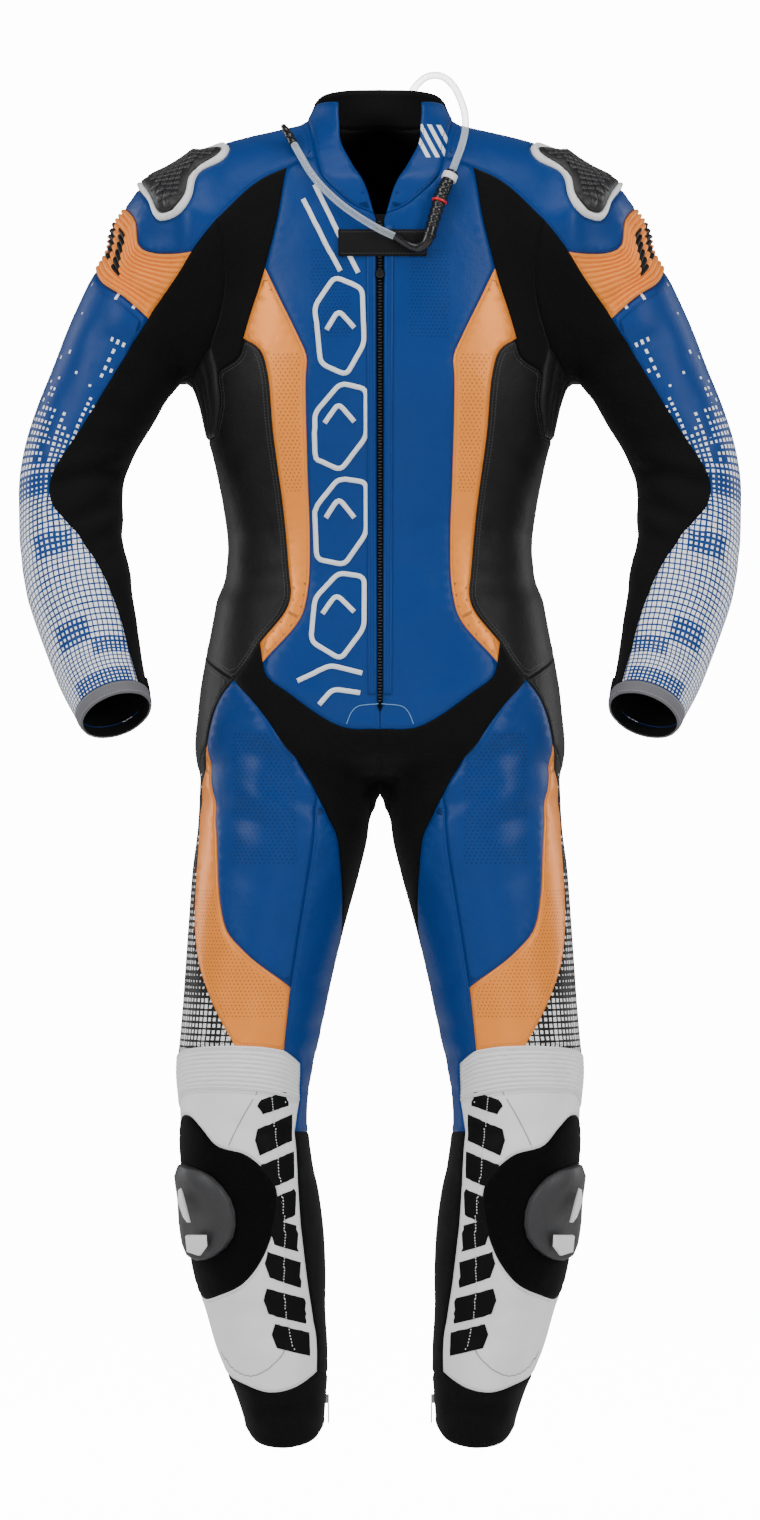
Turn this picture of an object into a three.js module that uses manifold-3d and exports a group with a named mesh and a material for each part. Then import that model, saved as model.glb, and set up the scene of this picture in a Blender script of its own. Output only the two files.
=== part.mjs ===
// A one-piece leather race suit, filled out and hollow, with its drinking hose.
// Millimetres, +Z up, front towards -Y. The origin lies inside the suit between the shoulders.
// One half is worked out at +X and mirrored. "out" is the distance from the centre line, "up" the height.
import * as THREE from "three";
import { mergeVertices } from "three/addons/utils/BufferGeometryUtils.js";
import Module from "manifold-3d";

const WALL = 2;
const SEAM_GAP = 0.3;
const STEP = 31;
const RIB_HEIGHT = 2.6;
const SLIDER_HEIGHT = 7;
const PUCK_HEIGHT = 20;
const HOSE_DIAMETER = 7.5;
const CUFF_LENGTH = 14;
const ZIP_HALF_WIDTH = 6;
const ZIP_TOP = -74;
const ZIP_BOTTOM = -574;

// The body of the suit, by horizontal sections. power is the corner of the superellipse.
const TORSO = {
  columns: ["up", "halfWidth", "front", "back", "power"],
  rows: [
    [-40, 120, 92, 88, 2.2],
    [-90, 150, 104, 98, 2.3],
    [-150, 176, 113, 105, 2.4],
    [-200, 184, 117, 107, 2.4],
    [-247, 186, 117, 106, 2.4],
    [-288, 179, 113, 102, 2.4],
    [-330, 169, 107, 97, 2.4],
    [-371, 161, 102, 93, 2.3],
    [-412, 157, 100, 93, 2.3],
    [-453, 161, 101, 97, 2.3],
    [-494, 170, 104, 106, 2.3],
    [-536, 176, 106, 115, 2.3],
    [-577, 180, 105, 120, 2.3],
    [-618, 182, 100, 120, 2.3],
    [-640, 168, 46, 56, 2.2],
    [-650, 150, 8, 10, 2.1],
  ],
};

// The shoulders, by sections across the centre line.
const YOKE = {
  columns: ["out", "up", "halfHeight", "halfDepth"],
  rows: [
    [0, -78, 100, 100],
    [70, -77, 102, 98],
    [110, -78, 97, 92],
    [155, -80, 88, 84],
    [190, -84, 78, 76],
  ],
};

// The sleeve, by sections along its axis. The forearm swings forward.
const ARM = {
  columns: ["out", "y", "up", "halfWidth", "halfDepth"],
  rows: [
    [180, 0, -80, 76, 76],
    [216, 2, -130, 69, 67],
    [250, 4, -180, 64, 62],
    [282, 5, -247, 60, 58],
    [302, 3, -288, 56, 55],
    [316, 0, -330, 54, 53],
    [318, -10, -371, 53.5, 53],
    [315, -28, -412, 54.5, 53],
    [308, -50, -453, 54, 50],
    [297, -75, -494, 50, 46],
    [285, -103, -536, 45, 42],
    [275, -124, -562, 41, 39],
    [266, -140, -584, 37, 36],
  ],
};

// The leg, by horizontal sections.
const LEG = {
  columns: ["up", "out", "y", "halfWidth", "halfDepth"],
  rows: [
    [-470, 96, 0, 60, 80],
    [-560, 97, 0, 78, 98],
    [-640, 98, 0, 86, 100],
    [-701, 100, -2, 88, 97],
    [-742, 107, -4, 86, 93],
    [-824, 121, -8, 78, 85],
    [-907, 133, -14, 72, 76],
    [-948, 139, -18, 69, 73],
    [-989, 140, -20, 65, 70],
    [-1030, 138, -18, 67, 70],
    [-1071, 132, -10, 69, 70],
    [-1112, 128, 0, 70, 70],
    [-1154, 124, 8, 68, 67],
    [-1195, 118, 14, 62, 62],
    [-1236, 111, 18, 57, 57],
    [-1277, 103, 20, 48, 51],
    [-1318, 98, 20, 40, 46],
    [-1345, 97, 20, 37, 44],
  ],
};

// The collar, by horizontal sections.
const NECK = {
  columns: ["up", "y", "halfWidth", "halfDepth"],
  rows: [
    [-90, -6, 74, 84],
    [-40, -6, 74, 78],
    [0, -2, 73, 72],
    [30, 2, 72, 68],
    [50, 6, 66, 62],
    [72, 10, 57, 55],
  ],
};

const HUMP = { y: 86, up: -118, halfWidth: 80, halfDepth: 78, halfHeight: 140 };

// Creases of the leather: soft troughs between two points seen from the front.
// side -1 is the front, +1 the back.
const FOLDS = {
  columns: ["out1", "up1", "out2", "up2", "side", "depth", "width"],
  rows: [
    [60, -640, 150, -600, -1, 5, 12],
    [40, -690, 110, -655, -1, 4, 11],
    [110, -700, 175, -672, -1, 3, 11],
    [262, -330, 330, -345, -1, 5, 11],
    [258, -352, 325, -392, -1, 5, 10],
    [256, -395, 330, -415, -1, 4, 10],
    [225, -215, 285, -200, -1, 4, 11],
    [215, -175, 262, -140, -1, 4, 11],
    [100, -1015, 150, -1000, -1, 3, 9],
    [80, -1205, 150, -1190, -1, 3, 10],
    [75, -1290, 120, -1300, -1, 4, 9],
    [60, -700, 180, -690, 1, 8, 15],
    [80, -985, 190, -985, 1, 7, 12],
    [85, -1020, 185, -1015, 1, 7, 12],
    [90, -1060, 175, -1050, 1, 4, 12],
    [0, -430, 140, -400, 1, 5, 14],
    [0, -470, 140, -455, 1, 5, 14],
    [230, -260, 300, -240, 1, 4, 12],
  ],
};

const FILLET = { shoulder: 45, leg: 34, neck: 16, hump: 26 };

// A table is read at a height by a smooth curve through its rows.
function smoothAt(rows, key, at) {
  const last = rows.length - 1;
  const descending = rows[0][0] > rows[last][0];
  const t = descending ? -at : at;
  const x = (i) => (descending ? -rows[i][0] : rows[i][0]);
  if (t <= x(0)) return rows[0][key];
  if (t >= x(last)) return rows[last][key];
  let i = 0;
  while (t > x(i + 1)) i += 1;
  const slope = (j) => {
    if (j <= 0 || j >= last) return 0;
    return (rows[j + 1][key] - rows[j - 1][key]) / (x(j + 1) - x(j - 1));
  };
  const h = x(i + 1) - x(i);
  const s = (t - x(i)) / h;
  const a = rows[i][key];
  const b = rows[i + 1][key];
  const s2 = s * s;
  const s3 = s2 * s;
  return (
    (2 * s3 - 3 * s2 + 1) * a +
    (s3 - 2 * s2 + s) * h * slope(i) +
    (3 * s2 - 2 * s3) * b +
    (s3 - s2) * h * slope(i + 1)
  );
}

function smoothUnion(a, b, radius) {
  const h = Math.max(radius - Math.abs(a - b), 0) / radius;
  return Math.min(a, b) - (h * h * radius) / 4;
}

// How far a point lies outside an ellipse of half sizes a and b, along the ray from its centre.
function outsideEllipse(u, v, a, b, power = 2) {
  const reach = Math.hypot(u, v);
  const ratio = (Math.abs(u / a) ** power + Math.abs(v / b) ** power) ** (1 / power);
  return ratio < 1e-9 ? -Math.min(a, b) : reach * (1 - 1 / ratio);
}

function pastEnd(distance, past) {
  return past > 0 ? Math.hypot(Math.max(distance, 0), past) + Math.min(distance, 0) : distance;
}

// The sleeve's axis, cut into short straight pieces, each with its frame and half sizes.
const ARM_CUTS = 4;
function sleeveSections(rows) {
  const curve = new THREE.CatmullRomCurve3(
    rows.map(([out, y, up]) => new THREE.Vector3(out, y, up)), false, "centripetal");
  const count = (rows.length - 1) * ARM_CUTS;
  return Array.from({ length: count + 1 }, (_, i) => {
    const t = i / count;
    const row = Math.min(Math.floor(i / ARM_CUTS), rows.length - 2);
    const share = i / ARM_CUTS - row;
    const centre = curve.getPoint(t);
    const along = curve.getTangent(t);
    const outward = new THREE.Vector3(-along.z, 0, along.x).normalize();
    const back = new THREE.Vector3().crossVectors(along, outward);
    if (back.y < 0) back.negate();
    const size = (k) => rows[row][k] + (rows[row + 1][k] - rows[row][k]) * share;
    return { centre, along, outward, back, halfWidth: size(3), halfDepth: size(4) };
  });
}
const SLEEVE = sleeveSections(ARM.rows);

function nearestOnAxis(sections, p) {
  let best = 0;
  let bestDistance = Infinity;
  sections.forEach((s, i) => {
    const d = s.centre.distanceToSquared(p);
    if (d < bestDistance) {
      bestDistance = d;
      best = i;
    }
  });
  let chosen = { i: 0, share: 0, d: Infinity };
  for (const i of [best - 1, best]) {
    if (i < 0 || i >= sections.length - 1) continue;
    const a = sections[i].centre;
    const leg = sections[i + 1].centre.clone().sub(a);
    const raw = p.clone().sub(a).dot(leg) / leg.lengthSq();
    const share = THREE.MathUtils.clamp(raw, 0, 1);
    const d = a.clone().addScaledVector(leg, share).distanceToSquared(p);
    if (d < chosen.d) chosen = { i, share, d };
  }
  return chosen;
}

function sectionBetween(sections, i, share) {
  const a = sections[i];
  const b = sections[Math.min(i + 1, sections.length - 1)];
  const mix = (k) => a[k].clone().lerp(b[k], share);
  return {
    centre: mix("centre"),
    along: mix("along").normalize(),
    outward: mix("outward").normalize(),
    back: mix("back").normalize(),
    halfWidth: a.halfWidth + (b.halfWidth - a.halfWidth) * share,
    halfDepth: a.halfDepth + (b.halfDepth - a.halfDepth) * share,
  };
}

function outsideSleeve(p) {
  const { i, share } = nearestOnAxis(SLEEVE, p);
  const s = sectionBetween(SLEEVE, i, share);
  const d = p.clone().sub(s.centre);
  const radial = outsideEllipse(d.dot(s.outward), d.dot(s.back), s.halfWidth, s.halfDepth);
  const before = i === 0 && share === 0 ? -d.dot(s.along) : 0;
  return pastEnd(radial, before);
}

function outsideTorso(x, y, z) {
  const at = (k) => smoothAt(TORSO.rows, k, z);
  const radial = outsideEllipse(x, y, at(1), y < 0 ? at(2) : at(3), at(4));
  const top = TORSO.rows[0][0];
  const bottom = TORSO.rows[TORSO.rows.length - 1][0];
  return pastEnd(radial, Math.max(z - top, bottom - z));
}

function outsideYoke(x, y, z) {
  const at = (k) => smoothAt(YOKE.rows, k, x);
  const radial = outsideEllipse(z - at(1), y, at(2), at(3));
  return pastEnd(radial, x - YOKE.rows[YOKE.rows.length - 1][0]);
}

function outsideLeg(x, y, z) {
  const at = (k) => smoothAt(LEG.rows, k, z);
  const radial = outsideEllipse(x - at(1), y - at(2), at(3), at(4));
  return pastEnd(radial, z - LEG.rows[0][0]);
}

function outsideNeck(x, y, z) {
  const at = (k) => smoothAt(NECK.rows, k, z);
  const radial = outsideEllipse(x, y - at(1), at(2), at(3));
  return pastEnd(radial, NECK.rows[0][0] - z);
}

function outsideHump(x, y, z) {
  const ratio = Math.hypot(
    x / HUMP.halfWidth, (y - HUMP.y) / HUMP.halfDepth, (z - HUMP.up) / HUMP.halfHeight);
  return Math.hypot(x, y - HUMP.y, z - HUMP.up) * (1 - 1 / Math.max(ratio, 1e-6));
}

function troughs(x, y, z) {
  return FOLDS.rows.reduce((sum, [x1, z1, x2, z2, side, depth, width]) => {
    if (y * side <= 0) return sum;
    const dx = x2 - x1;
    const dz = z2 - z1;
    const share = THREE.MathUtils.clamp(((x - x1) * dx + (z - z1) * dz) / (dx * dx + dz * dz), 0, 1);
    const away = Math.hypot(x - x1 - share * dx, z - z1 - share * dz) / width;
    return away > 3 ? sum : sum + depth * Math.exp(-away * away) * Math.min(1, (y * side) / 25);
  }, 0);
}

// Below zero inside the filled-out suit, above zero outside. This surface is the outside of the cloth.
function outside(p) {
  const x = Math.abs(p.x);
  const { y, z } = p;
  const q = new THREE.Vector3(x, y, z);
  let d = Infinity;
  if (z < 60 && z > -760) d = smoothUnion(outsideTorso(x, y, z), outsideYoke(x, y, z), 30);
  if (x > 60 && z > -700) d = smoothUnion(d, outsideSleeve(q), FILLET.shoulder);
  if (z < -400) d = smoothUnion(d, outsideLeg(x, y, z), FILLET.leg);
  if (z > -90) d = smoothUnion(d, outsideNeck(x, y, z), FILLET.neck);
  if (y > 0 && z > -330) d = smoothUnion(d, outsideHump(x, y, z), FILLET.hump);
  return d + troughs(x, y, z);
}

const SLOPE_STEP = 1.5;
function normalAt(p) {
  const n = new THREE.Vector3();
  ["x", "y", "z"].forEach((axis) => {
    const a = p.clone();
    const b = p.clone();
    a[axis] += SLOPE_STEP;
    b[axis] -= SLOPE_STEP;
    n[axis] = outside(a) - outside(b);
  });
  return n.normalize();
}

// The nearest point of the surface, by a few steps down the slope.
function snap(p) {
  const q = p.clone();
  for (let i = 0; i < 8; i += 1) {
    const n = normalAt(q);
    const here = outside(q);
    if (Math.abs(here) < 0.01) break;
    const ahead = outside(q.clone().addScaledVector(n, -here));
    const gain = Math.abs(here - ahead) > 1e-6 ? here / (here - ahead) : 1;
    q.addScaledVector(n, -here * THREE.MathUtils.clamp(gain, 0.3, 1.6));
  }
  return q;
}

const RAY_STEP = 5;
const RAY_LENGTH = 420;
function shoot(origin, direction) {
  let before = 0;
  const at = (t) => origin.clone().addScaledVector(direction, t);
  for (let t = RAY_STEP; t < RAY_LENGTH; t += RAY_STEP) {
    if (outside(at(t)) > 0) {
      let low = before;
      let high = t;
      for (let k = 0; k < 14; k += 1) {
        const middle = (low + high) / 2;
        if (outside(at(middle)) > 0) high = middle;
        else low = middle;
      }
      return at((low + high) / 2);
    }
    before = t;
  }
  return at(before);
}

// Ways to name a point of the surface: seen from the front or the back, or by an angle round the
// torso or the leg (0 in front, 90 outward, 180 behind), or round the sleeve (0 outward, -90 in front).
const legCentre = (up) => new THREE.Vector3(smoothAt(LEG.rows, 1, up), smoothAt(LEG.rows, 2, up), up);
const turned = (degrees) => {
  const a = THREE.MathUtils.degToRad(degrees);
  return new THREE.Vector3(Math.sin(a), -Math.cos(a), 0);
};
function seen(out, up, sign) {
  const far = new THREE.Vector3(out, sign * 260, up);
  const inward = new THREE.Vector3(0, -sign, 0);
  for (let t = 0; t < 260; t += 4) {
    const p = far.clone().addScaledVector(inward, t);
    if (outside(p) < 0) return snap(p);
  }
  return snap(new THREE.Vector3(out, sign * 10, up));
}
const KINDS = {
  front: (out, up) => seen(out, up, -1),
  back: (out, up) => seen(out, up, 1),
  torso: (degrees, up) => shoot(new THREE.Vector3(0, 0, up), turned(degrees)),
  leg: (degrees, up) => shoot(legCentre(up), turned(degrees)),
  sleeve: (degrees, share) => sleeveRay(degrees, share),
  near: (out, up, y) => snap(new THREE.Vector3(out, y, up)),
};
function sleeveRay(degrees, share) {
  const at = share * (SLEEVE.length - 1);
  const i = Math.min(Math.floor(at), SLEEVE.length - 2);
  const s = sectionBetween(SLEEVE, i, at - i);
  const a = THREE.MathUtils.degToRad(degrees);
  const direction = s.outward.clone().multiplyScalar(Math.cos(a)).addScaledVector(s.back, Math.sin(a));
  return shoot(s.centre, direction);
}

// Where seams meet.
const CUFF_SHARE = 0.955;
const JOINTS = {
  zipTop: ["front", ZIP_HALF_WIDTH, ZIP_TOP],
  zipBottom: ["front", ZIP_HALF_WIDTH, ZIP_BOTTOM],
  neckFront: ["front", 66, -12],
  neckSide: ["near", 71, 28, 0],
  neckBack: ["near", 52, 27, 48],
  collarOuter: ["near", 66, 46, -8],
  collarInner: ["near", 45, 47, -44],
  chestTop: ["front", 95, -24],
  stripeTop: ["front", 116, -128],
  stripeOuter: ["front", 138, -199],
  stripeBottomIn: ["front", 119, -529],
  stripeBottomOut: ["front", 122, -509],
  bellyCentre: ["front", 0, -597],
  hipFront: ["front", 148, -547],
  ribsFront: ["front", 166, -232],
  armholeFront: ["front", 173, -206],
  ribsFoot: ["front", 168, -297],
  sideTop: ["torso", 104, -297],
  beltSide: ["torso", 97, -514],
  beltBack: ["back", 0, -512],
  capFront: ["front", 168, -80],
  capBack: ["back", 168, -80],
  armholeBack: ["back", 173, -206],
  elbowTopFront: ["front", 192, -110],
  elbowTopBack: ["back", 192, -110],
  ribsEndFront: ["front", 237, -177],
  ribsEndBack: ["back", 237, -177],
  cuffFront: ["sleeve", -150, CUFF_SHARE],
  cuffBack: ["sleeve", 125, CUFF_SHARE],
  thighTop: ["front", 64, -665],
  stripeTip: ["front", 177, -612],
  thighFoot: ["front", 92, -860],
  kneeMiddle: ["front", 99, -924],
  kneeOut: ["front", 148, -919],
  kneeIn: ["front", 82, -938],
  kneeSideTop: ["leg", 104, -938],
  kneeSideFoot: ["leg", 108, -992],
  kneeInFoot: ["front", 83, -977],
  blueFoot: ["front", 87, -1008],
  blueFootBack: ["leg", -104, -1010],
  groinFoot: ["leg", -92, -935],
  seatInner: ["leg", -128, -705],
  seatCentre: ["near", 0, -641, 58],
  shinFoot: ["front", 65, -1257],
  shinFootSide: ["leg", 115, -1250],
};

// The seams: from a joint, through points, to a joint.
const SEAMS = {
  collarFoot: ["zipTop", [["front", 26, -65], ["front", 44, -50], ["front", 58, -36]], "neckFront"],
  neckRise: ["neckFront", [["near", 69, 8, -34]], "neckSide"],
  neckRear: ["neckSide", [["near", 66, 28, 26]], "neckBack"],
  collarEnd: ["neckSide", [], "collarOuter"],
  collarTop: ["collarOuter", [["near", 58, 47, -26]], "collarInner"],
  collarFree: ["collarInner", [
    ["near", 44, 27, -55], ["near", 40, 4, -62], ["front", 29, -20], ["front", 15, -44]], "zipTop"],
  capFrontNeck: ["neckFront", [], "chestTop"],
  capFrontChest: ["chestTop", [["front", 119, -35], ["front", 141, -53]], "capFront"],
  capFrontArm: ["capFront", [["front", 184, -99]], "elbowTopFront"],
  capFoot: ["elbowTopFront", [
    ["front", 212, -112], ["front", 234, -110], ["front", 246, -103], ["sleeve", -35, 0.05],
    ["sleeve", 0, 0.045], ["sleeve", 35, 0.05], ["back", 246, -103], ["back", 234, -110],
    ["back", 212, -112]], "elbowTopBack"],
  capBackArm: ["elbowTopBack", [["back", 184, -99]], "capBack"],
  capBackNeck: ["capBack", [["back", 141, -53], ["back", 105, -30], ["back", 76, -6]], "neckBack"],
  chestIn: ["chestTop", [["front", 104, -77]], "stripeTop"],
  stripeIn: ["stripeTop", [
    ["front", 82, -200], ["front", 74, -219], ["front", 75, -240], ["front", 73, -337],
    ["front", 74, -462], ["front", 82, -486]], "stripeBottomIn"],
  belly: ["stripeBottomIn", [
    ["front", 115, -543], ["front", 92, -561], ["front", 60, -584], ["front", 34, -596]], "bellyCentre"],
  centreFront: ["bellyCentre", [], "zipBottom"],
  zipEdge: ["zipBottom", [["front", ZIP_HALF_WIDTH, -400], ["front", ZIP_HALF_WIDTH, -220]], "zipTop"],
  stripeShoulder: ["stripeTop", [], "stripeOuter"],
  stripeOut: ["stripeOuter", [
    ["front", 122, -211], ["front", 114, -237], ["front", 107, -302], ["front", 92, -437],
    ["front", 91, -462], ["front", 96, -477]], "stripeBottomOut"],
  stripeFoot: ["stripeBottomOut", [], "stripeBottomIn"],
  stretchFoot: ["stripeOuter", [["front", 144, -217]], "ribsFront"],
  ribsUpper: ["ribsFront", [], "armholeFront"],
  ribsLower: ["ribsFront", [["front", 163, -262]], "ribsFoot"],
  ribsBase: ["ribsFoot", [], "sideTop"],
  ribsBack: ["sideTop", [["torso", 113, -250]], "armholeBack"],
  underarm: ["armholeFront", [["near", 198, -238, -30], ["near", 204, -246, 0], ["near", 198, -238, 30]],
    "armholeBack"],
  armholeRiseFront: ["armholeFront", [["front", 162, -171], ["front", 158, -135], ["front", 161, -103]],
    "capFront"],
  armholeRiseBack: ["capBack", [["back", 161, -103], ["back", 158, -135], ["back", 162, -171]],
    "armholeBack"],
  sideSeam: ["sideTop", [["torso", 101, -400]], "beltSide"],
  beltFront: ["beltSide", [], "hipFront"],
  hipStretch: ["hipFront", [["front", 134, -529]], "stripeBottomOut"],
  beltRear: ["beltSide", [["torso", 130, -500], ["back", 70, -505]], "beltBack"],
  ribsEdgeFront: ["elbowTopFront", [], "ribsEndFront"],
  ribsEdgeBack: ["elbowTopBack", [], "ribsEndBack"],
  armRibsFoot: ["ribsEndFront", [
    ["front", 263, -154], ["sleeve", -40, 0.145], ["sleeve", 0, 0.135], ["sleeve", 40, 0.145],
    ["back", 263, -154]], "ribsEndBack"],
  sleeveFront: ["ribsEndFront", [
    ["front", 274, -237], ["front", 304, -286], ["front", 331, -328], ["front", 338, -346],
    ["front", 334, -368], ["front", 311, -395], ["front", 289, -425], ["front", 276, -455],
    ["front", 262, -490]], "cuffFront"],
  sleeveBack: ["ribsEndBack", [
    ["sleeve", 118, 0.3], ["sleeve", 135, 0.5], ["sleeve", 135, 0.7]], "cuffBack"],
  cuffOuter: ["cuffFront", [["sleeve", -100, CUFF_SHARE], ["sleeve", -50, CUFF_SHARE],
    ["sleeve", 0, CUFF_SHARE], ["sleeve", 60, CUFF_SHARE]], "cuffBack"],
  cuffInner: ["cuffBack", [["sleeve", 165, CUFF_SHARE]], "cuffFront"],
  hipThigh: ["hipFront", [["front", 167, -574]], "stripeTip"],
  groinThigh: ["hipFront", [["front", 122, -577], ["front", 84, -628]], "thighTop"],
  groinInner: ["thighTop", [["front", 49, -696], ["front", 41, -742], ["front", 39, -780],
    ["front", 43, -824], ["front", 52, -870]], "groinFoot"],
  thighSeam: ["thighTop", [["front", 72, -736], ["front", 82, -798]], "thighFoot"],
  thighSeamLow: ["thighFoot", [], "kneeMiddle"],
  stripeThigh: ["stripeTip", [["front", 172, -639], ["front", 166, -707], ["front", 163, -775],
    ["front", 155, -802], ["front", 137, -824]], "thighFoot"],
  stripeKnee: ["kneeMiddle", [["front", 122, -920]], "kneeOut"],
  stripeSide: ["kneeOut", [["front", 172, -871], ["front", 186, -828], ["front", 190, -791],
    ["front", 187, -735], ["front", 183, -666]], "stripeTip"],
  kneeTopOut: ["kneeOut", [["front", 179, -921], ["leg", 75, -927]], "kneeSideTop"],
  kneeTopIn: ["kneeIn", [], "kneeMiddle"],
  kneeEndOut: ["kneeSideTop", [], "kneeSideFoot"],
  kneeEndIn: ["kneeIn", [], "kneeInFoot"],
  kneeFoot: ["kneeInFoot", [["front", 126, -966], ["front", 170, -964], ["leg", 65, -970]],
    "kneeSideFoot"],
  blueShin: ["kneeInFoot", [], "blueFoot"],
  blueFootEdge: ["blueFoot", [["leg", -84, -1010]], "blueFootBack"],
  blueBack: ["blueFootBack", [["leg", -98, -975]], "groinFoot"],
  groinBack: ["groinFoot", [["leg", -108, -880], ["leg", -122, -790]], "seatInner"],
  seatGroin: ["seatInner", [["near", 30, -690, 50]], "seatCentre"],
  crotch: ["seatCentre", [["near", 0, -664, 0], ["near", 0, -640, -50], ["front", 0, -624]],
    "bellyCentre"],
  centreBack: ["beltBack", [["back", 0, -580]], "seatCentre"],
  seatFoot: ["seatInner", [["leg", 180, -700], ["leg", 130, -670]], "stripeTip"],
  shinIn: ["blueFoot", [["front", 83, -1083], ["front", 75, -1159], ["front", 67, -1218]], "shinFoot"],
  shinBottom: ["shinFoot", [["front", 90, -1273], ["front", 113, -1277], ["front", 138, -1270]],
    "shinFootSide"],
  shinOut: ["kneeSideFoot", [["leg", 118, -1100], ["leg", 118, -1190]], "shinFootSide"],
  calfTop: ["blueFootBack", [["leg", -150, -1003], ["leg", 170, -996]], "kneeSideFoot"],
  calfBottom: ["shinFootSide", [["leg", 160, -1258], ["leg", 205, -1262], ["leg", 250, -1262]],
    "shinFoot"],
};

// Closed lines inside a panel.
const LOOPS = {
  slider: [["front", 178, -2], ["front", 158, 2], ["front", 154, -4], ["front", 160, -14],
    ["front", 181, -25], ["front", 188, -34], ["front", 192, -54], ["front", 197, -66],
    ["front", 205, -73], ["front", 224, -78], ["front", 230, -73], ["front", 235, -58],
    ["near", 244, -43, 0], ["back", 232, -50], ["back", 218, -50], ["back", 200, -30], ["near", 184, 0, 22]],
  patch: [["front", 194, -992], ["front", 182, -1004], ["front", 166, -1021], ["front", 135, -1031],
    ["front", 107, -1062], ["front", 107, -1094], ["front", 119, -1134], ["front", 138, -1162],
    ["front", 162, -1176], ["leg", 84, -1180], ["leg", 97, -1152], ["leg", 101, -1090],
    ["leg", 97, -1032], ["leg", 84, -998]],
  puck: [["front", 168, -1052], ["front", 147, -1082], ["front", 147, -1112], ["front", 166, -1135],
    ["leg", 76, -1134], ["leg", 92, -1096], ["leg", 84, -1044]],
  hump: [["back", 0, 6], ["back", 44, -4], ["back", 74, -44], ["back", 86, -110], ["back", 80, -190],
    ["back", 52, -246], ["back", 0, -266]],
  hem: [["leg", 0, -1335], ["leg", 45, -1331], ["leg", 90, -1318], ["leg", 135, -1314],
    ["leg", 180, -1314], ["leg", 225, -1312], ["leg", 270, -1312], ["leg", 315, -1328]],
};

const place = ([kind, ...values]) => KINDS[kind](...values);
const joint = Object.fromEntries(Object.entries(JOINTS).map(([name, spec]) => [name, place(spec)]));

function curveThrough(points, closed, count) {
  const curve = new THREE.CatmullRomCurve3(points, closed, "centripetal");
  const parts = count ?? Math.max(closed ? 8 : 1, Math.round(curve.getLength() / STEP));
  const spaced = curve.getSpacedPoints(parts).map((p, i) => {
    const end = !closed && (i === 0 || i === parts);
    return end ? p : snap(p);
  });
  return closed ? spaced.slice(0, -1) : spaced;
}
// Seams that end the rows of an accordion are cut into a number of pieces that divides the rows.
const PARTS_OF = {
  kneeEndOut: 2, kneeEndIn: 2, ribsEdgeFront: 3, ribsEdgeBack: 3, ribsUpper: 1, ribsLower: 2, ribsBack: 3,
  ribsBase: 1, underarm: 12,
};
const seam = Object.fromEntries(Object.entries(SEAMS).map(([name, [from, through, to]]) => {
  const points = [joint[from], ...through.map(place), joint[to]];
  return [name, curveThrough(points, false, PARTS_OF[name])];
}));
for (const name of ["crotch", "centreBack", "centreFront"])
  seam[name].forEach((p) => { p.x = 0; });

const along = (name) => (name.startsWith("-") ? [...seam[name.slice(1)]].reverse() : seam[name]);
const mirrored = (p) => new THREE.Vector3(-p.x, p.y, p.z);
const mirroredBack = (points) => points.map(mirrored).reverse();

// A line of seams end to end.
function chain(names) {
  return names.flatMap((name, i) => (i === 0 ? along(name) : along(name).slice(1)));
}
function ring(names) {
  return names.flatMap((name) => along(name).slice(0, -1));
}

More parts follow.
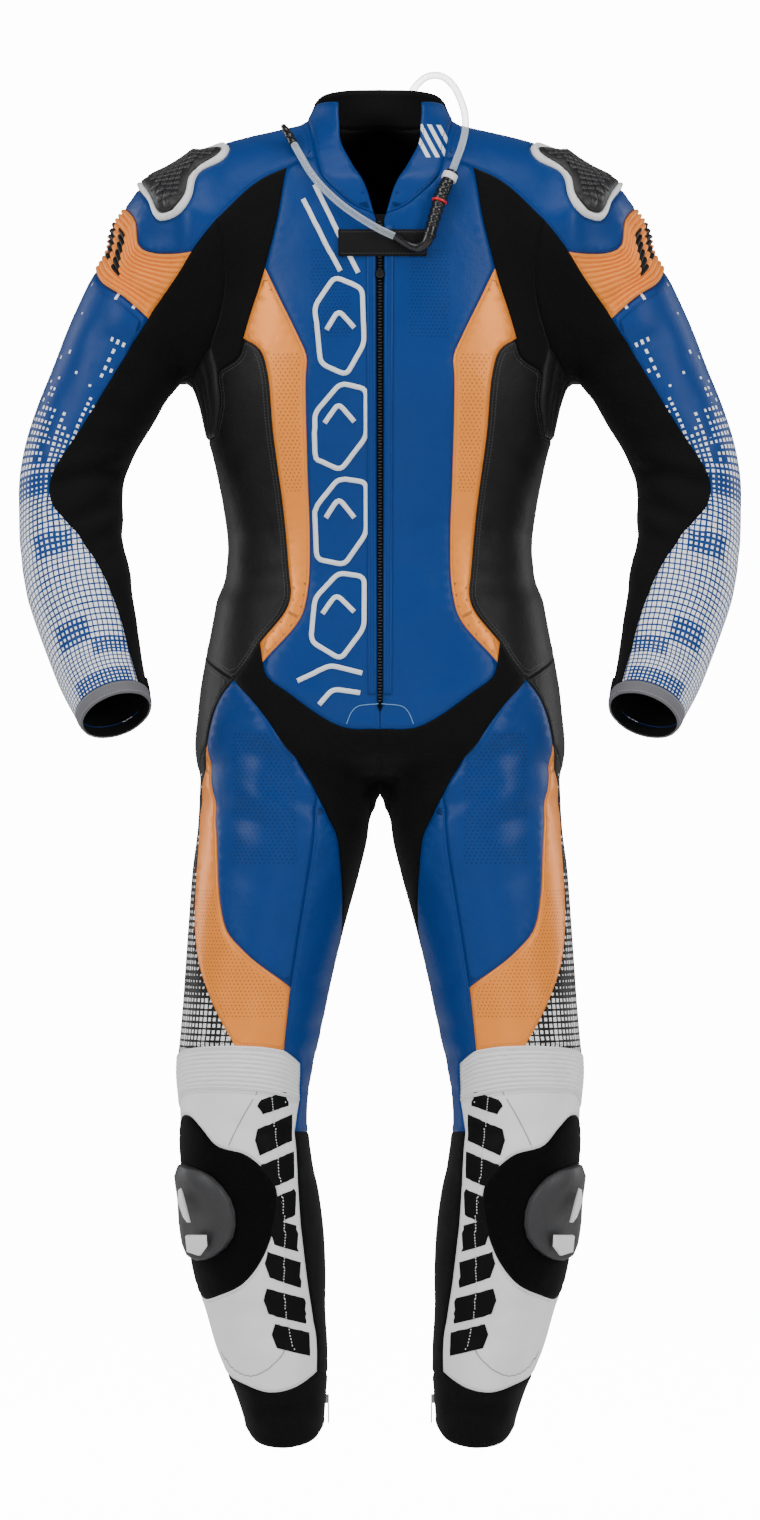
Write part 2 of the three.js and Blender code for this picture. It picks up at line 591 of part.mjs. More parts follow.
// Charts lay a region of the surface flat, so that it can be divided into triangles.
const wrap = (degrees, middle) => middle + THREE.MathUtils.euclideanModulo(degrees - middle + 180, 360) - 180;
const angleOf = (x, y) => THREE.MathUtils.radToDeg(Math.atan2(x, -y));
const CAPSULE_TOP = -95;
const CHARTS = {
  torso: (middle) => ({
    flat: (p) => {
      const lift = p.z > CAPSULE_TOP ? Math.atan2(p.z - CAPSULE_TOP, Math.hypot(p.x, p.y)) : 0;
      const v = p.z > CAPSULE_TOP ? CAPSULE_TOP + lift * 110 : p.z;
      return new THREE.Vector2(wrap(angleOf(p.x, p.y), middle) * 2.4, v);
    },
    raise: ({ x, y }) => {
      const lift = Math.max(0, (y - CAPSULE_TOP) / 110);
      const level = turned(x / 2.4).multiplyScalar(Math.cos(lift));
      level.z = Math.sin(lift);
      return shoot(new THREE.Vector3(0, 0, Math.min(y, CAPSULE_TOP)), level);
    },
  }),
  neck: (middle) => ({
    flat: (p) => new THREE.Vector2(wrap(angleOf(p.x, p.y), middle) * 1.4, p.z),
    raise: ({ x, y }) => shoot(new THREE.Vector3(0, 0, y), turned(x / 1.4)),
  }),
  leg: (middle) => ({
    flat: (p) => {
      const c = legCentre(p.z);
      return new THREE.Vector2(wrap(angleOf(p.x - c.x, p.y - c.y), middle) * 1.4, p.z);
    },
    raise: ({ x, y }) => {
      const from = legCentre(y);
      const direction = turned(x / 1.4);
      const hit = shoot(from, direction);
      if (hit.x > 0) return hit;
      return snap(from.clone().addScaledVector(direction, (1 - from.x) / direction.x));
    },
  }),
  sleeve: (middle) => ({
    flat: (p) => {
      const { i, share } = nearestOnAxis(CHART_AXIS, p);
      const s = sectionBetween(CHART_AXIS, i, share);
      const d = p.clone().sub(s.centre);
      const degrees = THREE.MathUtils.radToDeg(Math.atan2(d.dot(s.back), d.dot(s.outward)));
      return new THREE.Vector2(wrap(degrees, middle) * 1.0, (i + share) * CHART_STEP);
    },
    raise: ({ x, y }) => {
      const at = THREE.MathUtils.clamp(y / CHART_STEP, 0, CHART_AXIS.length - 1.001);
      const i = Math.floor(at);
      const s = sectionBetween(CHART_AXIS, i, at - i);
      const a = THREE.MathUtils.degToRad(x);
      const direction = s.outward.clone().multiplyScalar(Math.cos(a)).addScaledVector(s.back, Math.sin(a));
      return shoot(s.centre, direction);
    },
  }),
  shoulder: () => ({
    flat: (p) => {
      const d = p.clone().sub(SHOULDER_CENTRE).normalize();
      const turn = Math.acos(THREE.MathUtils.clamp(d.dot(SHOULDER_POLE), -1, 1));
      const u = d.dot(SHOULDER_SIDE);
      const v = d.dot(SHOULDER_REAR);
      const size = Math.hypot(u, v) || 1;
      return new THREE.Vector2((u / size) * turn * 90, (v / size) * turn * 90);
    },
    raise: ({ x, y }) => {
      const turn = Math.hypot(x, y) / 90;
      const size = Math.hypot(x, y) || 1;
      const d = SHOULDER_POLE.clone().multiplyScalar(Math.cos(turn))
        .addScaledVector(SHOULDER_SIDE, (Math.sin(turn) * x) / size)
        .addScaledVector(SHOULDER_REAR, (Math.sin(turn) * y) / size);
      return shoot(SHOULDER_CENTRE, d);
    },
  }),
};
const SHOULDER_CENTRE = new THREE.Vector3(150, 0, -95);
const SHOULDER_POLE = new THREE.Vector3(0.5, 0, 0.87).normalize();
const SHOULDER_REAR = new THREE.Vector3(0, 1, 0);
const SHOULDER_SIDE = new THREE.Vector3().crossVectors(SHOULDER_REAR, SHOULDER_POLE);
const CHART_AXIS = sleeveSections([[172, 2, -22, 60, 60], ...ARM.rows.slice(2)]);
const CHART_STEP = 12;

// Triangles over a flat outline with holes and inner points, kept as even as can be.
function divide(flatPoints, contour, holes, inner) {
  const at = (i) => flatPoints[i];
  const loops = [contour, ...holes].flat();
  const faces = THREE.ShapeUtils.triangulateShape(contour.map(at), holes.map((h) => h.map(at)))
    .map((f) => f.map((i) => loops[i]));
  const area = (a, b, c) =>
    (at(b).x - at(a).x) * (at(c).y - at(a).y) - (at(b).y - at(a).y) * (at(c).x - at(a).x);
  const tris = faces.filter(([a, b, c]) => Math.abs(area(a, b, c)) > 1e-9)
    .map(([a, b, c]) => (area(a, b, c) > 0 ? [a, b, c] : [a, c, b]));
  const improve = () => {
    for (let pass = 0; pass < 60; pass += 1) {
      const edges = new Map();
      tris.forEach((t, k) => t.forEach((a, j) => edges.set(a * 1e5 + t[(j + 1) % 3], k)));
      const used = new Set();
      let flips = 0;
      for (const [key, k] of edges) {
        const a = Math.floor(key / 1e5);
        const b = key % 1e5;
        const m = edges.get(b * 1e5 + a);
        if (m === undefined || used.has(k) || used.has(m) || a > b) continue;
        const c = tris[k].find((v) => v !== a && v !== b);
        const d = tris[m].find((v) => v !== a && v !== b);
        const cosine = (p, q, r) => {
          const u = at(p).clone().sub(at(q));
          const w = at(r).clone().sub(at(q));
          return Math.atan2(Math.abs(u.x * w.y - u.y * w.x), u.dot(w));
        };
        if (cosine(a, c, b) + cosine(a, d, b) <= Math.PI + 1e-6) continue;
        if (area(c, a, d) <= 1e-6 || area(d, b, c) <= 1e-6) continue;
        tris[k] = [c, a, d];
        tris[m] = [d, b, c];
        used.add(k).add(m);
        flips += 1;
      }
      if (!flips) break;
    }
  };
  improve();
  inner.forEach((p, n) => {
    const k = tris.findIndex(([a, b, c]) =>
      area(a, b, p) > 1e-3 && area(b, c, p) > 1e-3 && area(c, a, p) > 1e-3);
    if (k < 0) return;
    const [a, b, c] = tris[k];
    tris[k] = [a, b, p];
    tris.push([b, c, p], [c, a, p]);
    if (n % 12 === 11) improve();
  });
  improve();
  return tris;
}

function insideLoop(p, loop) {
  let odd = false;
  loop.forEach((a, i) => {
    const b = loop[(i + 1) % loop.length];
    if ((a.y > p.y) !== (b.y > p.y) && p.x < ((b.x - a.x) * (p.y - a.y)) / (b.y - a.y) + a.x) odd = !odd;
  });
  return odd;
}
function distanceToLoop(p, loop) {
  return Math.min(...loop.map((a, i) => {
    const b = loop[(i + 1) % loop.length];
    const ab = b.clone().sub(a);
    const t = THREE.MathUtils.clamp(p.clone().sub(a).dot(ab) / Math.max(ab.lengthSq(), 1e-9), 0, 1);
    return p.distanceTo(a.clone().addScaledVector(ab, t));
  }));
}

// A region of the surface inside a ring of points: its points and triangles.
function region(chart, outline, holes = [], step = STEP) {
  const points = [outline, ...holes].flat();
  const flat = points.map(chart.flat);
  let start = 0;
  const loops = [outline, ...holes].map((loop) => {
    const indices = loop.map((_, i) => start + i);
    start += loop.length;
    return indices;
  });
  const rings = loops.map((l) => l.map((i) => flat[i]));
  const box = new THREE.Box2().setFromPoints(rings[0]);
  const inner = [];
  const rise = step * 0.866;
  for (let j = 0, v = box.min.y + rise / 2; v < box.max.y; j += 1, v += rise)
    for (let u = box.min.x + (j % 2 ? step / 2 : step / 4); u < box.max.x; u += step) {
      const p = new THREE.Vector2(u, v);
      if (!insideLoop(p, rings[0]) || rings.slice(1).some((r) => insideLoop(p, r))) continue;
      if (rings.some((r) => distanceToLoop(p, r) < step * 0.55)) continue;
      inner.push(p);
    }
  const first = flat.length;
  flat.push(...inner);
  points.push(...inner.map(chart.raise));
  const tris = divide(flat, loops[0], loops.slice(1), inner.map((_, i) => first + i));
  return { points, tris, normals: points.map(normalAt) };
}

// A region ruled between two lines, in rows, with ribs if asked. The ends of its rows lie on side seams.
function ruled(top, bottom, { rows, ribs = 0, closed = false, sides = null, columns = 0 }) {
  const count = columns || Math.max(top.length, bottom.length);
  const grid = [top];
  const lifts = [top.map(() => 0)];
  const sample = (line, share) => {
    const lengths = [0];
    const walk = closed ? [...line, line[0]] : line;
    for (let i = 1; i < walk.length; i += 1) lengths.push(lengths[i - 1] + walk[i].distanceTo(walk[i - 1]));
    const want = share * lengths[lengths.length - 1];
    let i = 1;
    while (i < lengths.length - 1 && lengths[i] < want) i += 1;
    const t = (want - lengths[i - 1]) / Math.max(lengths[i] - lengths[i - 1], 1e-9);
    return walk[i - 1].clone().lerp(walk[i], t);
  };
  for (let r = 1; r < rows; r += 1) {
    const down = r / rows;
    const row = [];
    const lift = [];
    for (let c = 0; c < count; c += 1) {
      const share = closed ? c / count : c / (count - 1);
      const edge = !closed && (c === 0 || c === count - 1);
      const raw = sample(top, share).lerp(sample(bottom, share), down);
      if (sides) {
        const across = pointOnSteps(sides[0], down).lerp(pointOnSteps(sides[1], down), share);
        const topChord = top[0].clone().lerp(top[top.length - 1], share);
        const bottomChord = bottom[0].clone().lerp(bottom[bottom.length - 1], share);
        raw.add(across).sub(topChord.lerp(bottomChord, down));
      }
      row.push(edge && sides ? pointOnSteps(sides[c === 0 ? 0 : 1], down) : snap(raw));
      lift.push(edge || !ribs ? 0 : (r % 2 ? RIB_HEIGHT : 0));
    }
    grid.push(row);
    lifts.push(lift);
  }
  grid.push(bottom);
  lifts.push(bottom.map(() => 0));
  const points = grid.flat();
  const lift = lifts.flat();
  const tris = [];
  let base = 0;
  for (let r = 0; r < rows; r += 1) {
    const a = grid[r].length;
    const b = grid[r + 1].length;
    const total = closed ? [a, b] : [a - 1, b - 1];
    let i = 0;
    let j = 0;
    while (i < total[0] || j < total[1]) {
      const p = base + (i % a);
      const q = base + a + (j % b);
      const stepTop = j >= total[1] || (i < total[0] && (i + 1) / total[0] <= (j + 1) / total[1]);
      if (stepTop) {
        tris.push([p, q, base + ((i + 1) % a)]);
        i += 1;
      } else {
        tris.push([p, q, base + a + ((j + 1) % b)]);
        j += 1;
      }
    }
    base += a;
  }
  return { points, tris, lift, normals: points.map(normalAt) };
}
function pointOnSteps(line, share) {
  const at = share * (line.length - 1);
  const i = Math.min(Math.floor(at), line.length - 2);
  return line[i].clone().lerp(line[i + 1], at - i);
}

// Two regions that share a line, as one.
function joined(...regions) {
  const seenAt = new Map();
  const points = [];
  const normals = [];
  const maps = regions.map((r) => r.points.map((p, i) => {
    const key = [p.x, p.y, p.z].map((v) => v.toFixed(4)).join();
    if (!seenAt.has(key)) {
      seenAt.set(key, points.length);
      points.push(p);
      normals.push(r.normals[i]);
    }
    return seenAt.get(key);
  }));
  return { points, normals, tris: regions.flatMap((r, k) => r.tris.map((t) => t.map((i) => maps[k][i]))) };
}

// The faces of a region turned so that they look along its normals.
function facingOut({ points, normals, tris }) {
  const vote = tris.reduce((sum, [a, b, c]) => {
    const n = points[b].clone().sub(points[a]).cross(points[c].clone().sub(points[a]));
    return sum + n.dot(normals[a]);
  }, 0);
  return vote < 0 ? tris.map(([a, b, c]) => [a, c, b]) : tris;
}

// A wall: the region as its outside, the same moved in as its inside, and a rim round each edge.
function wall(piece, { thickness = WALL, over = () => 0, under = null } = {}) {
  const tris = facingOut(piece);
  const edges = new Map();
  tris.forEach((t) => t.forEach((a, j) => {
    const b = t[(j + 1) % 3];
    if (edges.has(`${b},${a}`)) edges.delete(`${b},${a}`);
    else edges.set(`${a},${b}`, [a, b]);
  }));
  const next = new Map();
  const previous = new Map();
  edges.forEach(([a, b]) => {
    next.set(a, b);
    previous.set(b, a);
  });
  const rim = new Map();
  next.forEach((b, a) => {
    const n = piece.normals[a];
    const inwardOf = (from, to) =>
      n.clone().cross(piece.points[to].clone().sub(piece.points[from])).normalize();
    const one = inwardOf(previous.get(a), a);
    const two = inwardOf(a, b);
    const move = one.add(two).divideScalar(Math.max(1 + one.clone().dot(two), 0.3));
    rim.set(a, move.clampLength(0, 4).multiplyScalar(SEAM_GAP / 2));
  });
  const base = piece.points.map((p, i) => (rim.has(i) ? p.clone().add(rim.get(i)) : p.clone()));
  const liftAt = (i) => (piece.lift ? piece.lift[i] : 0);
  const height = piece.points.map((p, i) => liftAt(i) + over(p, rim.has(i)));
  const depth = piece.points.map((p, i) => (under ? under(p, rim.has(i)) : -thickness));
  const outer = base.map((p, i) => p.clone().addScaledVector(piece.normals[i], height[i]));
  const inner = base.map((p, i) => p.clone().addScaledVector(piece.normals[i], depth[i]));
  const count = base.length;
  const faces = tris.flatMap(([a, b, c]) => [[a, b, c], [a + count, c + count, b + count]]);
  edges.forEach(([a, b]) => {
    const cut = comesBefore(piece.points[a], piece.points[b])
      ? [[b, a, a + count], [b, a + count, b + count]]
      : [[b, a, b + count], [a, a + count, b + count]];
    faces.push(...cut);
  });
  return solidFrom([...outer, ...inner], faces);
}

// Two panels that share a seam cut each stretch of their rims the same way, so this asks the points alone.
function comesBefore(a, b) {
  if (Math.abs(a.z - b.z) > 1e-6) return a.z > b.z;
  return Math.abs(a.x - b.x) > 1e-6 ? Math.abs(a.x) > Math.abs(b.x) : a.y > b.y;
}

function solidFrom(points, faces) {
  const geometry = new THREE.BufferGeometry();
  const numbers = points.flatMap((p) => [p.x, p.y, p.z]);
  geometry.setAttribute("position", new THREE.Float32BufferAttribute(numbers, 3));
  geometry.setIndex(faces.flat());
  return geometry;
}

function mirroredSolid(geometry) {
  const copy = geometry.clone().scale(-1, 1, 1);
  const index = copy.getIndex().array;
  for (let i = 0; i < index.length; i += 3) [index[i + 1], index[i + 2]] = [index[i + 2], index[i + 1]];
  return copy;
}

const FINISHES = {
  blueLeather: { color: "#00478f", roughness: 0.45, metalness: 0 },
  orangeLeather: { color: "#e39a58", roughness: 0.35, metalness: 0.2 },
  whiteLeather: { color: "#dedede", roughness: 0.5, metalness: 0 },
  blackLeather: { color: "#1e1e1f", roughness: 0.45, metalness: 0 },
  blackStretch: { color: "#0b0b0c", roughness: 0.9, metalness: 0 },
  printedLeather: { color: "#8a94a4", roughness: 0.5, metalness: 0 },
  grayBinding: { color: "#66676a", roughness: 0.8, metalness: 0 },
  blackPlastic: { color: "#141416", roughness: 0.4, metalness: 0 },
  clearHose: { color: "#b9c6d2", roughness: 0.15, metalness: 0 },
  steel: { color: "#8b8d90", roughness: 0.35, metalness: 1 },
};
const suit = new THREE.Group();
function add(name, geometry, finish) {
  const mesh = new THREE.Mesh(geometry, new THREE.MeshStandardMaterial(FINISHES[finish]));
  mesh.name = name;
  suit.add(mesh);
  return mesh;
}
// The half that is worked out lies on the wearer's left.
function addPair(name, geometry, finish) {
  add(`${name}_left`, geometry, finish);
  add(`${name}_right`, mirroredSolid(geometry), finish);
}

// Panels between seams, with the chart and the finish of each.
const PANELS = {
  columns: ["chart", "middle", "seams", "finish"],
  front_panel: ["torso", 30, ["collarFoot", "capFrontNeck", "chestIn", "stripeIn", "belly",
    "centreFront", "zipEdge"], "blueLeather"],
  chest_stripe: ["torso", 45, ["stripeShoulder", "stripeOut", "stripeFoot", "-stripeIn"], "orangeLeather"],
  chest_stretch: ["torso", 50, ["capFrontChest", "-armholeRiseFront", "-ribsUpper", "-stretchFoot",
    "-stripeShoulder", "-chestIn"], "blackStretch"],
  side_leather: ["torso", 80, ["stretchFoot", "ribsLower", "ribsBase", "sideSeam", "beltFront",
    "hipStretch", "-stripeOut"], "blackLeather"],
  sleeve_outer: ["sleeve", 0, ["armRibsFoot", "sleeveBack", "-cuffOuter", "-sleeveFront"],
    "printedLeather"],
  sleeve_inner: ["sleeve", 180, ["sleeveFront", "-cuffInner", "-sleeveBack", "-ribsEdgeBack",
    "capBackArm", "armholeRiseBack", "-underarm", "armholeRiseFront", "capFrontArm", "ribsEdgeFront"],
    "blackStretch"],
  collar_leaf: ["neck", 40, ["collarFoot", "neckRise", "collarEnd", "collarTop", "collarFree"],
    "blueLeather"],
  seat: ["leg", 150, ["beltRear", "centreBack", "-seatGroin", "seatFoot", "-hipThigh", "-beltFront"],
    "blackLeather"],
  groin_stretch: ["leg", -50, ["crotch", "-belly", "-stripeFoot", "-hipStretch", "groinThigh",
    "groinInner", "groinBack", "seatGroin"], "blackStretch"],
  thigh_front: ["leg", 0, ["groinThigh", "thighSeam", "-stripeThigh", "-hipThigh"], "blueLeather"],
  thigh_inner: ["leg", -60, ["thighSeam", "thighSeamLow", "-kneeTopIn", "kneeEndIn", "blueShin",
    "blueFootEdge", "blueBack", "-groinInner"], "blueLeather"],
  thigh_stripe: ["leg", 30, ["stripeThigh", "thighSeamLow", "stripeKnee", "stripeSide"],
    "orangeLeather"],
  thigh_outer: ["leg", 150, ["-stripeSide", "kneeTopOut", "kneeEndOut", "-calfTop", "blueBack",
    "groinBack", "seatFoot"], "printedLeather"],
  calf: ["leg", 180, ["calfTop", "shinOut", "calfBottom", "-shinIn", "blueFootEdge"], "blackLeather"],
};

for (const [name, spec] of Object.entries(PANELS)) {
  if (name === "columns") continue;
  const [chart, middle, seams, finish] = spec;
  addPair(name, wall(region(CHARTS[chart](middle), ring(seams))), finish);
}

// Accordions, ruled between their two seams.
const armRibsTop = chain(["capFoot"]);
const armRibs = ruled(armRibsTop, seam.armRibsFoot, {
  rows: 24, ribs: 1, sides: [seam.ribsEdgeFront, seam.ribsEdgeBack], columns: 11 });
addPair("arm_ribs", wall(armRibs), "orangeLeather");

const kneeRibs = ruled(chain(["kneeTopIn", "stripeKnee", "kneeTopOut"]), seam.kneeFoot, {
  rows: 20, ribs: 1, sides: [seam.kneeEndIn, seam.kneeEndOut], columns: 10 });
addPair("knee_ribs", wall(kneeRibs), "whiteLeather");

const sideRibs = ruled(chain(["-ribsLower", "ribsUpper"]), chain(["ribsBack"]), {
  rows: 12, ribs: 1, sides: [seam.ribsBase, seam.underarm], columns: 6 });
addPair("side_ribs", wall(sideRibs), "blackLeather");

// Shoulder cap with the slider in its opening.
const closedLine = (name) => curveThrough(LOOPS[name].map(place), true);
const sliderLine = closedLine("slider");
const capRing = ring(["neckRise", "neckRear", "-capBackNeck", "-capBackArm", "-capFoot", "-capFrontArm",
  "-capFrontChest", "-capFrontNeck"]);
const shoulderChart = CHARTS.shoulder();
addPair("shoulder_cap", wall(region(shoulderChart, capRing, [sliderLine])), "blueLeather");
addPair("shoulder_slider",
  wall(region(shoulderChart, sliderLine, [], 18), { over: (_, edge) => (edge ? 0 : SLIDER_HEIGHT) }),
  "blackPlastic");

// Shin with the knee patch in its opening, and the puck on the patch.
const legFront = CHARTS.leg(30);
const patchLine = closedLine("patch");
const puckLine = closedLine("puck");
const shinRing = ring(["kneeFoot", "shinOut", "-shinBottom", "-shinIn", "-blueShin"]);
addPair("shin", wall(region(legFront, shinRing, [patchLine])), "whiteLeather");
const puckRegion = region(legFront, puckLine, [], 22);
addPair("knee_patch", wall(joined(region(legFront, patchLine, [puckLine], 26), puckRegion)), "blackStretch");
const puckWalls = {
  over: (_, edge) => (edge ? 6 : PUCK_HEIGHT),
  under: () => SEAM_GAP,
};
addPair("knee_slider", wall(puckRegion, puckWalls), "blackPlastic");

// The cuff binding and the ankle band go all round.
const LAST_CUFF = SLEEVE[SLEEVE.length - 1];
const cuffTop = ring(["cuffOuter", "cuffInner"]);
const cuffMouth = cuffTop.map((p) => snap(p.clone().addScaledVector(LAST_CUFF.along, CUFF_LENGTH)));
addPair("cuff", wall(ruled(cuffTop, cuffMouth, { rows: 1, closed: true })), "grayBinding");

const wasm = await Module();
wasm.setup();
function merged(...geometries) {
  const solids = geometries.map((geometry) => {
    const bare = new THREE.BufferGeometry();
    const flat = geometry.index ? geometry.toNonIndexed() : geometry;
    bare.setAttribute("position", flat.getAttribute("position"));
    const m = mergeVertices(bare, 1e-4);
    return new wasm.Manifold(new wasm.Mesh({
      numProp: 3, vertProperties: m.attributes.position.array, triVerts: new Uint32Array(m.index.array) }));
  });
  const mesh = solids.reduce((a, b) => a.add(b)).getMesh();
  const made = new THREE.BufferGeometry();
  made.setAttribute("position", new THREE.BufferAttribute(mesh.vertProperties, 3));
  made.setIndex(new THREE.BufferAttribute(mesh.triVerts, 1));
  return made;
}

// The calf zip ends on the ankle band in a slider with a hinged pull.
const ZIP_SLIDER = { x: 54.6, y: 22, up: -1288, depth: 4, width: 7, height: 9 };
const PULL = { width: 6, length: 20, thickness: 1.4, gap: 0.5, hole: 1.3 };
const hemTop = ring(["shinBottom", "calfBottom"]);
const hem = wall(ruled(hemTop, closedLine("hem"), { rows: 2, closed: true }));
const zipSlider = new THREE.BoxGeometry(ZIP_SLIDER.depth, ZIP_SLIDER.width, ZIP_SLIDER.height)
  .translate(ZIP_SLIDER.x, ZIP_SLIDER.y, ZIP_SLIDER.up);
addPair("ankle_hem", merged(hem, zipSlider), "blackStretch");

const pullOutline = new THREE.Shape();
pullOutline.moveTo(-PULL.width / 2, 0).lineTo(PULL.width / 2, 0);
pullOutline.lineTo(PULL.width / 2, -PULL.length + PULL.width / 2);
pullOutline.absarc(0, -PULL.length + PULL.width / 2, PULL.width / 2, 0, -Math.PI, true);
pullOutline.holes.push(new THREE.Path().absarc(0, -PULL.length + PULL.width, PULL.hole, 0, 2 * Math.PI));
const pullPlate = { depth: PULL.thickness, bevelEnabled: false, curveSegments: 5 };
const pull = merged(new THREE.ExtrudeGeometry(pullOutline, pullPlate)
  .translate(0, 0, -PULL.thickness / 2)
  .applyMatrix4(new THREE.Matrix4().makeBasis(
    new THREE.Vector3(0, 1, 0), new THREE.Vector3(0, 0, 1), new THREE.Vector3(1, 0, 0)))
  .translate(ZIP_SLIDER.x - PULL.thickness, ZIP_SLIDER.y, ZIP_SLIDER.up - ZIP_SLIDER.height / 2 - PULL.gap));
addPair("calf_zip_pull", pull, "steel");

// Collar, back, hump and zip cross the centre line.
const onCentre = (p) => new THREE.Vector3(0, p.y, p.z);
function halfLine(points) {
  const line = curveThrough(points, false);
  line[line.length - 1] = onCentre(line[line.length - 1]);
  return line;
}
const acrossCentre = (half) => [...half, ...mirroredBack(half).slice(1)];
const neckHalf = halfLine([joint.neckBack, KINDS.near(28, 26, 66), KINDS.near(0, 26, 72)]);
const collarRim = acrossCentre(halfLine([
  joint.collarOuter, KINDS.near(60, 58, 22), KINDS.near(40, 66, 52), KINDS.near(0, 68, 64)]));
const collarFoot = acrossCentre([...seam.neckRear, ...neckHalf.slice(1)]);
const collarSide = [...seam.collarEnd].reverse();
add("collar_back", wall(ruled(collarRim, collarFoot, {
  rows: 3, sides: [collarSide, collarSide.map(mirrored)] })), "blackStretch");

const humpHalf = halfLine(LOOPS.hump.map(place));
humpHalf[0] = onCentre(humpHalf[0]);
const humpLine = [...humpHalf, ...mirroredBack(humpHalf).slice(1, -1)];
const backHalf = [
  ...[...neckHalf].reverse(),
  ...chain(["-capBackNeck", "armholeRiseBack", "-ribsBack", "sideSeam", "beltRear"]).slice(1)];
const backOutline = [...backHalf, ...mirroredBack(backHalf).slice(1, -1)];
const backChart = CHARTS.torso(180);
add("back_panel", wall(region(backChart, backOutline, [humpLine])), "blackLeather");
add("hump", wall(region(backChart, humpLine)), "blueLeather");

const zipSide = [...seam.zipEdge].reverse();
const zipOutline = [...zipSide, joint.bellyCentre, ...mirroredBack(zipSide)];
add("front_zip", wall(region(CHARTS.torso(0), zipOutline)), "blackStretch");

const STUD = { up: -135, radius: 4.5, height: 2.6, crown: 0.8 };
const studSeat = KINDS.front(0, STUD.up);
const studProfile = [[0, 0], [STUD.radius, 0], [STUD.radius, STUD.height - STUD.crown],
  [STUD.radius - STUD.crown, STUD.height], [0, STUD.height]].map(([r, h]) => new THREE.Vector2(r, h));
const stud = add("snap_stud", new THREE.LatheGeometry(studProfile, 16), "blackPlastic");
stud.position.copy(studSeat).addScaledVector(normalAt(studSeat), SEAM_GAP);
stud.quaternion.setFromUnitVectors(new THREE.Vector3(0, 1, 0), normalAt(studSeat));

// The strap that holds the hose lies on the chest.
const TAB = { left: -42, right: 47, top: -90, bottom: -117, lift: 0.5, parts: 8 };
const tabEdge = (up) => Array.from({ length: TAB.parts + 1 }, (_, i) => {
  const x = TAB.left + ((TAB.right - TAB.left) * i) / TAB.parts;
  const p = KINDS.front(Math.abs(x), up);
  return x < 0 ? mirrored(p) : p;
});
const tab = ruled(tabEdge(TAB.top), tabEdge(TAB.bottom), { rows: 2 });
add("chest_tab", wall(tab, { over: () => TAB.lift + WALL, under: () => TAB.lift }), "blackStretch");

// The drinking hose comes out of the hump, over the shoulder beside the collar and down to its connector.
const HOSE_UPPER = [
  [20, 104, 13.4], [22, 101, 30], [27, 93, 50], [33, 80, 66], [41, 66, 76], [52, 48, 81], [65, 28, 78],
  [76, 6, 66], [83, -16, 50], [87, -38, 33], [87, -60, 15], [83, -80, -3], [77, -95, -20],
  [73.5, -100.5, -29.5],
];
const HOSE_LOWER = [
  [14.4, -117.4, -97.2], [0, -118, -90.5], [-13, -117, -83], [-35, -113, -68], [-56, -106, -49],
  [-70, -98, -32], [-81, -87, -13], [-87.5, -76, -0.8],
];
const CONNECTOR = {
  columns: ["x", "y", "up", "radius"],
  rows: [
    [73.2, -101, -30.4, 6.5], [68, -105, -42, 6.5], [63, -109, -53, 7], [56, -114, -75, 6.5],
    [50, -116.8, -95, 6.5], [46, -117.6, -104, 6], [39, -117.8, -109, 5.5], [30, -117.3, -107, 4.2],
    [15, -117.3, -97.7, 4.2],
  ],
};
const MOUTHPIECE = {
  columns: ["x", "y", "up", "radius"],
  rows: [[-87.9, -75.4, -0.2, 4.5], [-91, -70, 6, 4.5], [-95, -64, 13, 4], [-99, -58, 20, 3]],
};
const SIDES = 10;
function hose(points, steps) {
  const circle = new THREE.Shape().absarc(0, 0, HOSE_DIAMETER / 2, 0, 2 * Math.PI);
  const path = new THREE.CatmullRomCurve3(points.map(([x, y, z]) => new THREE.Vector3(x, y, z)));
  return new THREE.ExtrudeGeometry(circle, { steps, curveSegments: SIDES / 2, extrudePath: path });
}
// A round body along a curve, whose radius changes from row to row.
function turnedAlong(rows, parts) {
  const path = new THREE.CatmullRomCurve3(rows.map(([x, y, z]) => new THREE.Vector3(x, y, z)));
  const frames = path.computeFrenetFrames(parts);
  const points = [];
  for (let i = 0; i <= parts; i += 1) {
    const at = (i / parts) * (rows.length - 1);
    const row = Math.min(Math.floor(at), rows.length - 2);
    const radius = rows[row][3] + (rows[row + 1][3] - rows[row][3]) * (at - row);
    const centre = path.getPoint(i / parts);
    for (let j = 0; j < SIDES; j += 1) {
      const a = (j / SIDES) * 2 * Math.PI;
      points.push(centre.clone().addScaledVector(frames.normals[i], radius * Math.cos(a))
        .addScaledVector(frames.binormals[i], radius * Math.sin(a)));
    }
  }
  const faces = [];
  for (let i = 0; i < parts; i += 1)
    for (let j = 0; j < SIDES; j += 1) {
      const k = (j + 1) % SIDES;
      const a = i * SIDES;
      const b = a + SIDES;
      faces.push([a + j, a + k, b + k], [a + j, b + k, b + j]);
    }
  for (let j = 1; j < SIDES - 1; j += 1) {
    faces.push([0, j + 1, j]);
    faces.push([parts * SIDES, parts * SIDES + j, parts * SIDES + j + 1]);
  }
  return solidFrom(points, faces);
}
add("hose_upper", hose(HOSE_UPPER, 22), "clearHose");
add("hose_lower", hose(HOSE_LOWER, 12), "clearHose");
add("hose_connector", turnedAlong(CONNECTOR.rows, 16), "blackPlastic");
add("mouthpiece", turnedAlong(MOUTHPIECE.rows, 3), "blackPlastic");

export default suit;
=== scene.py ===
# %% [markdown]
# # A one-piece leather race suit
# The suit is hollow and filled out. Every panel is a thin shell on the form that the CAD solids have,
# with its own creases, seams and print. Sizes are in millimetres until a mesh is made.

# %% The frame
import math

import bpy
import numpy as np
from mathutils import Matrix, Vector
from mathutils.geometry import delaunay_2d_cdt


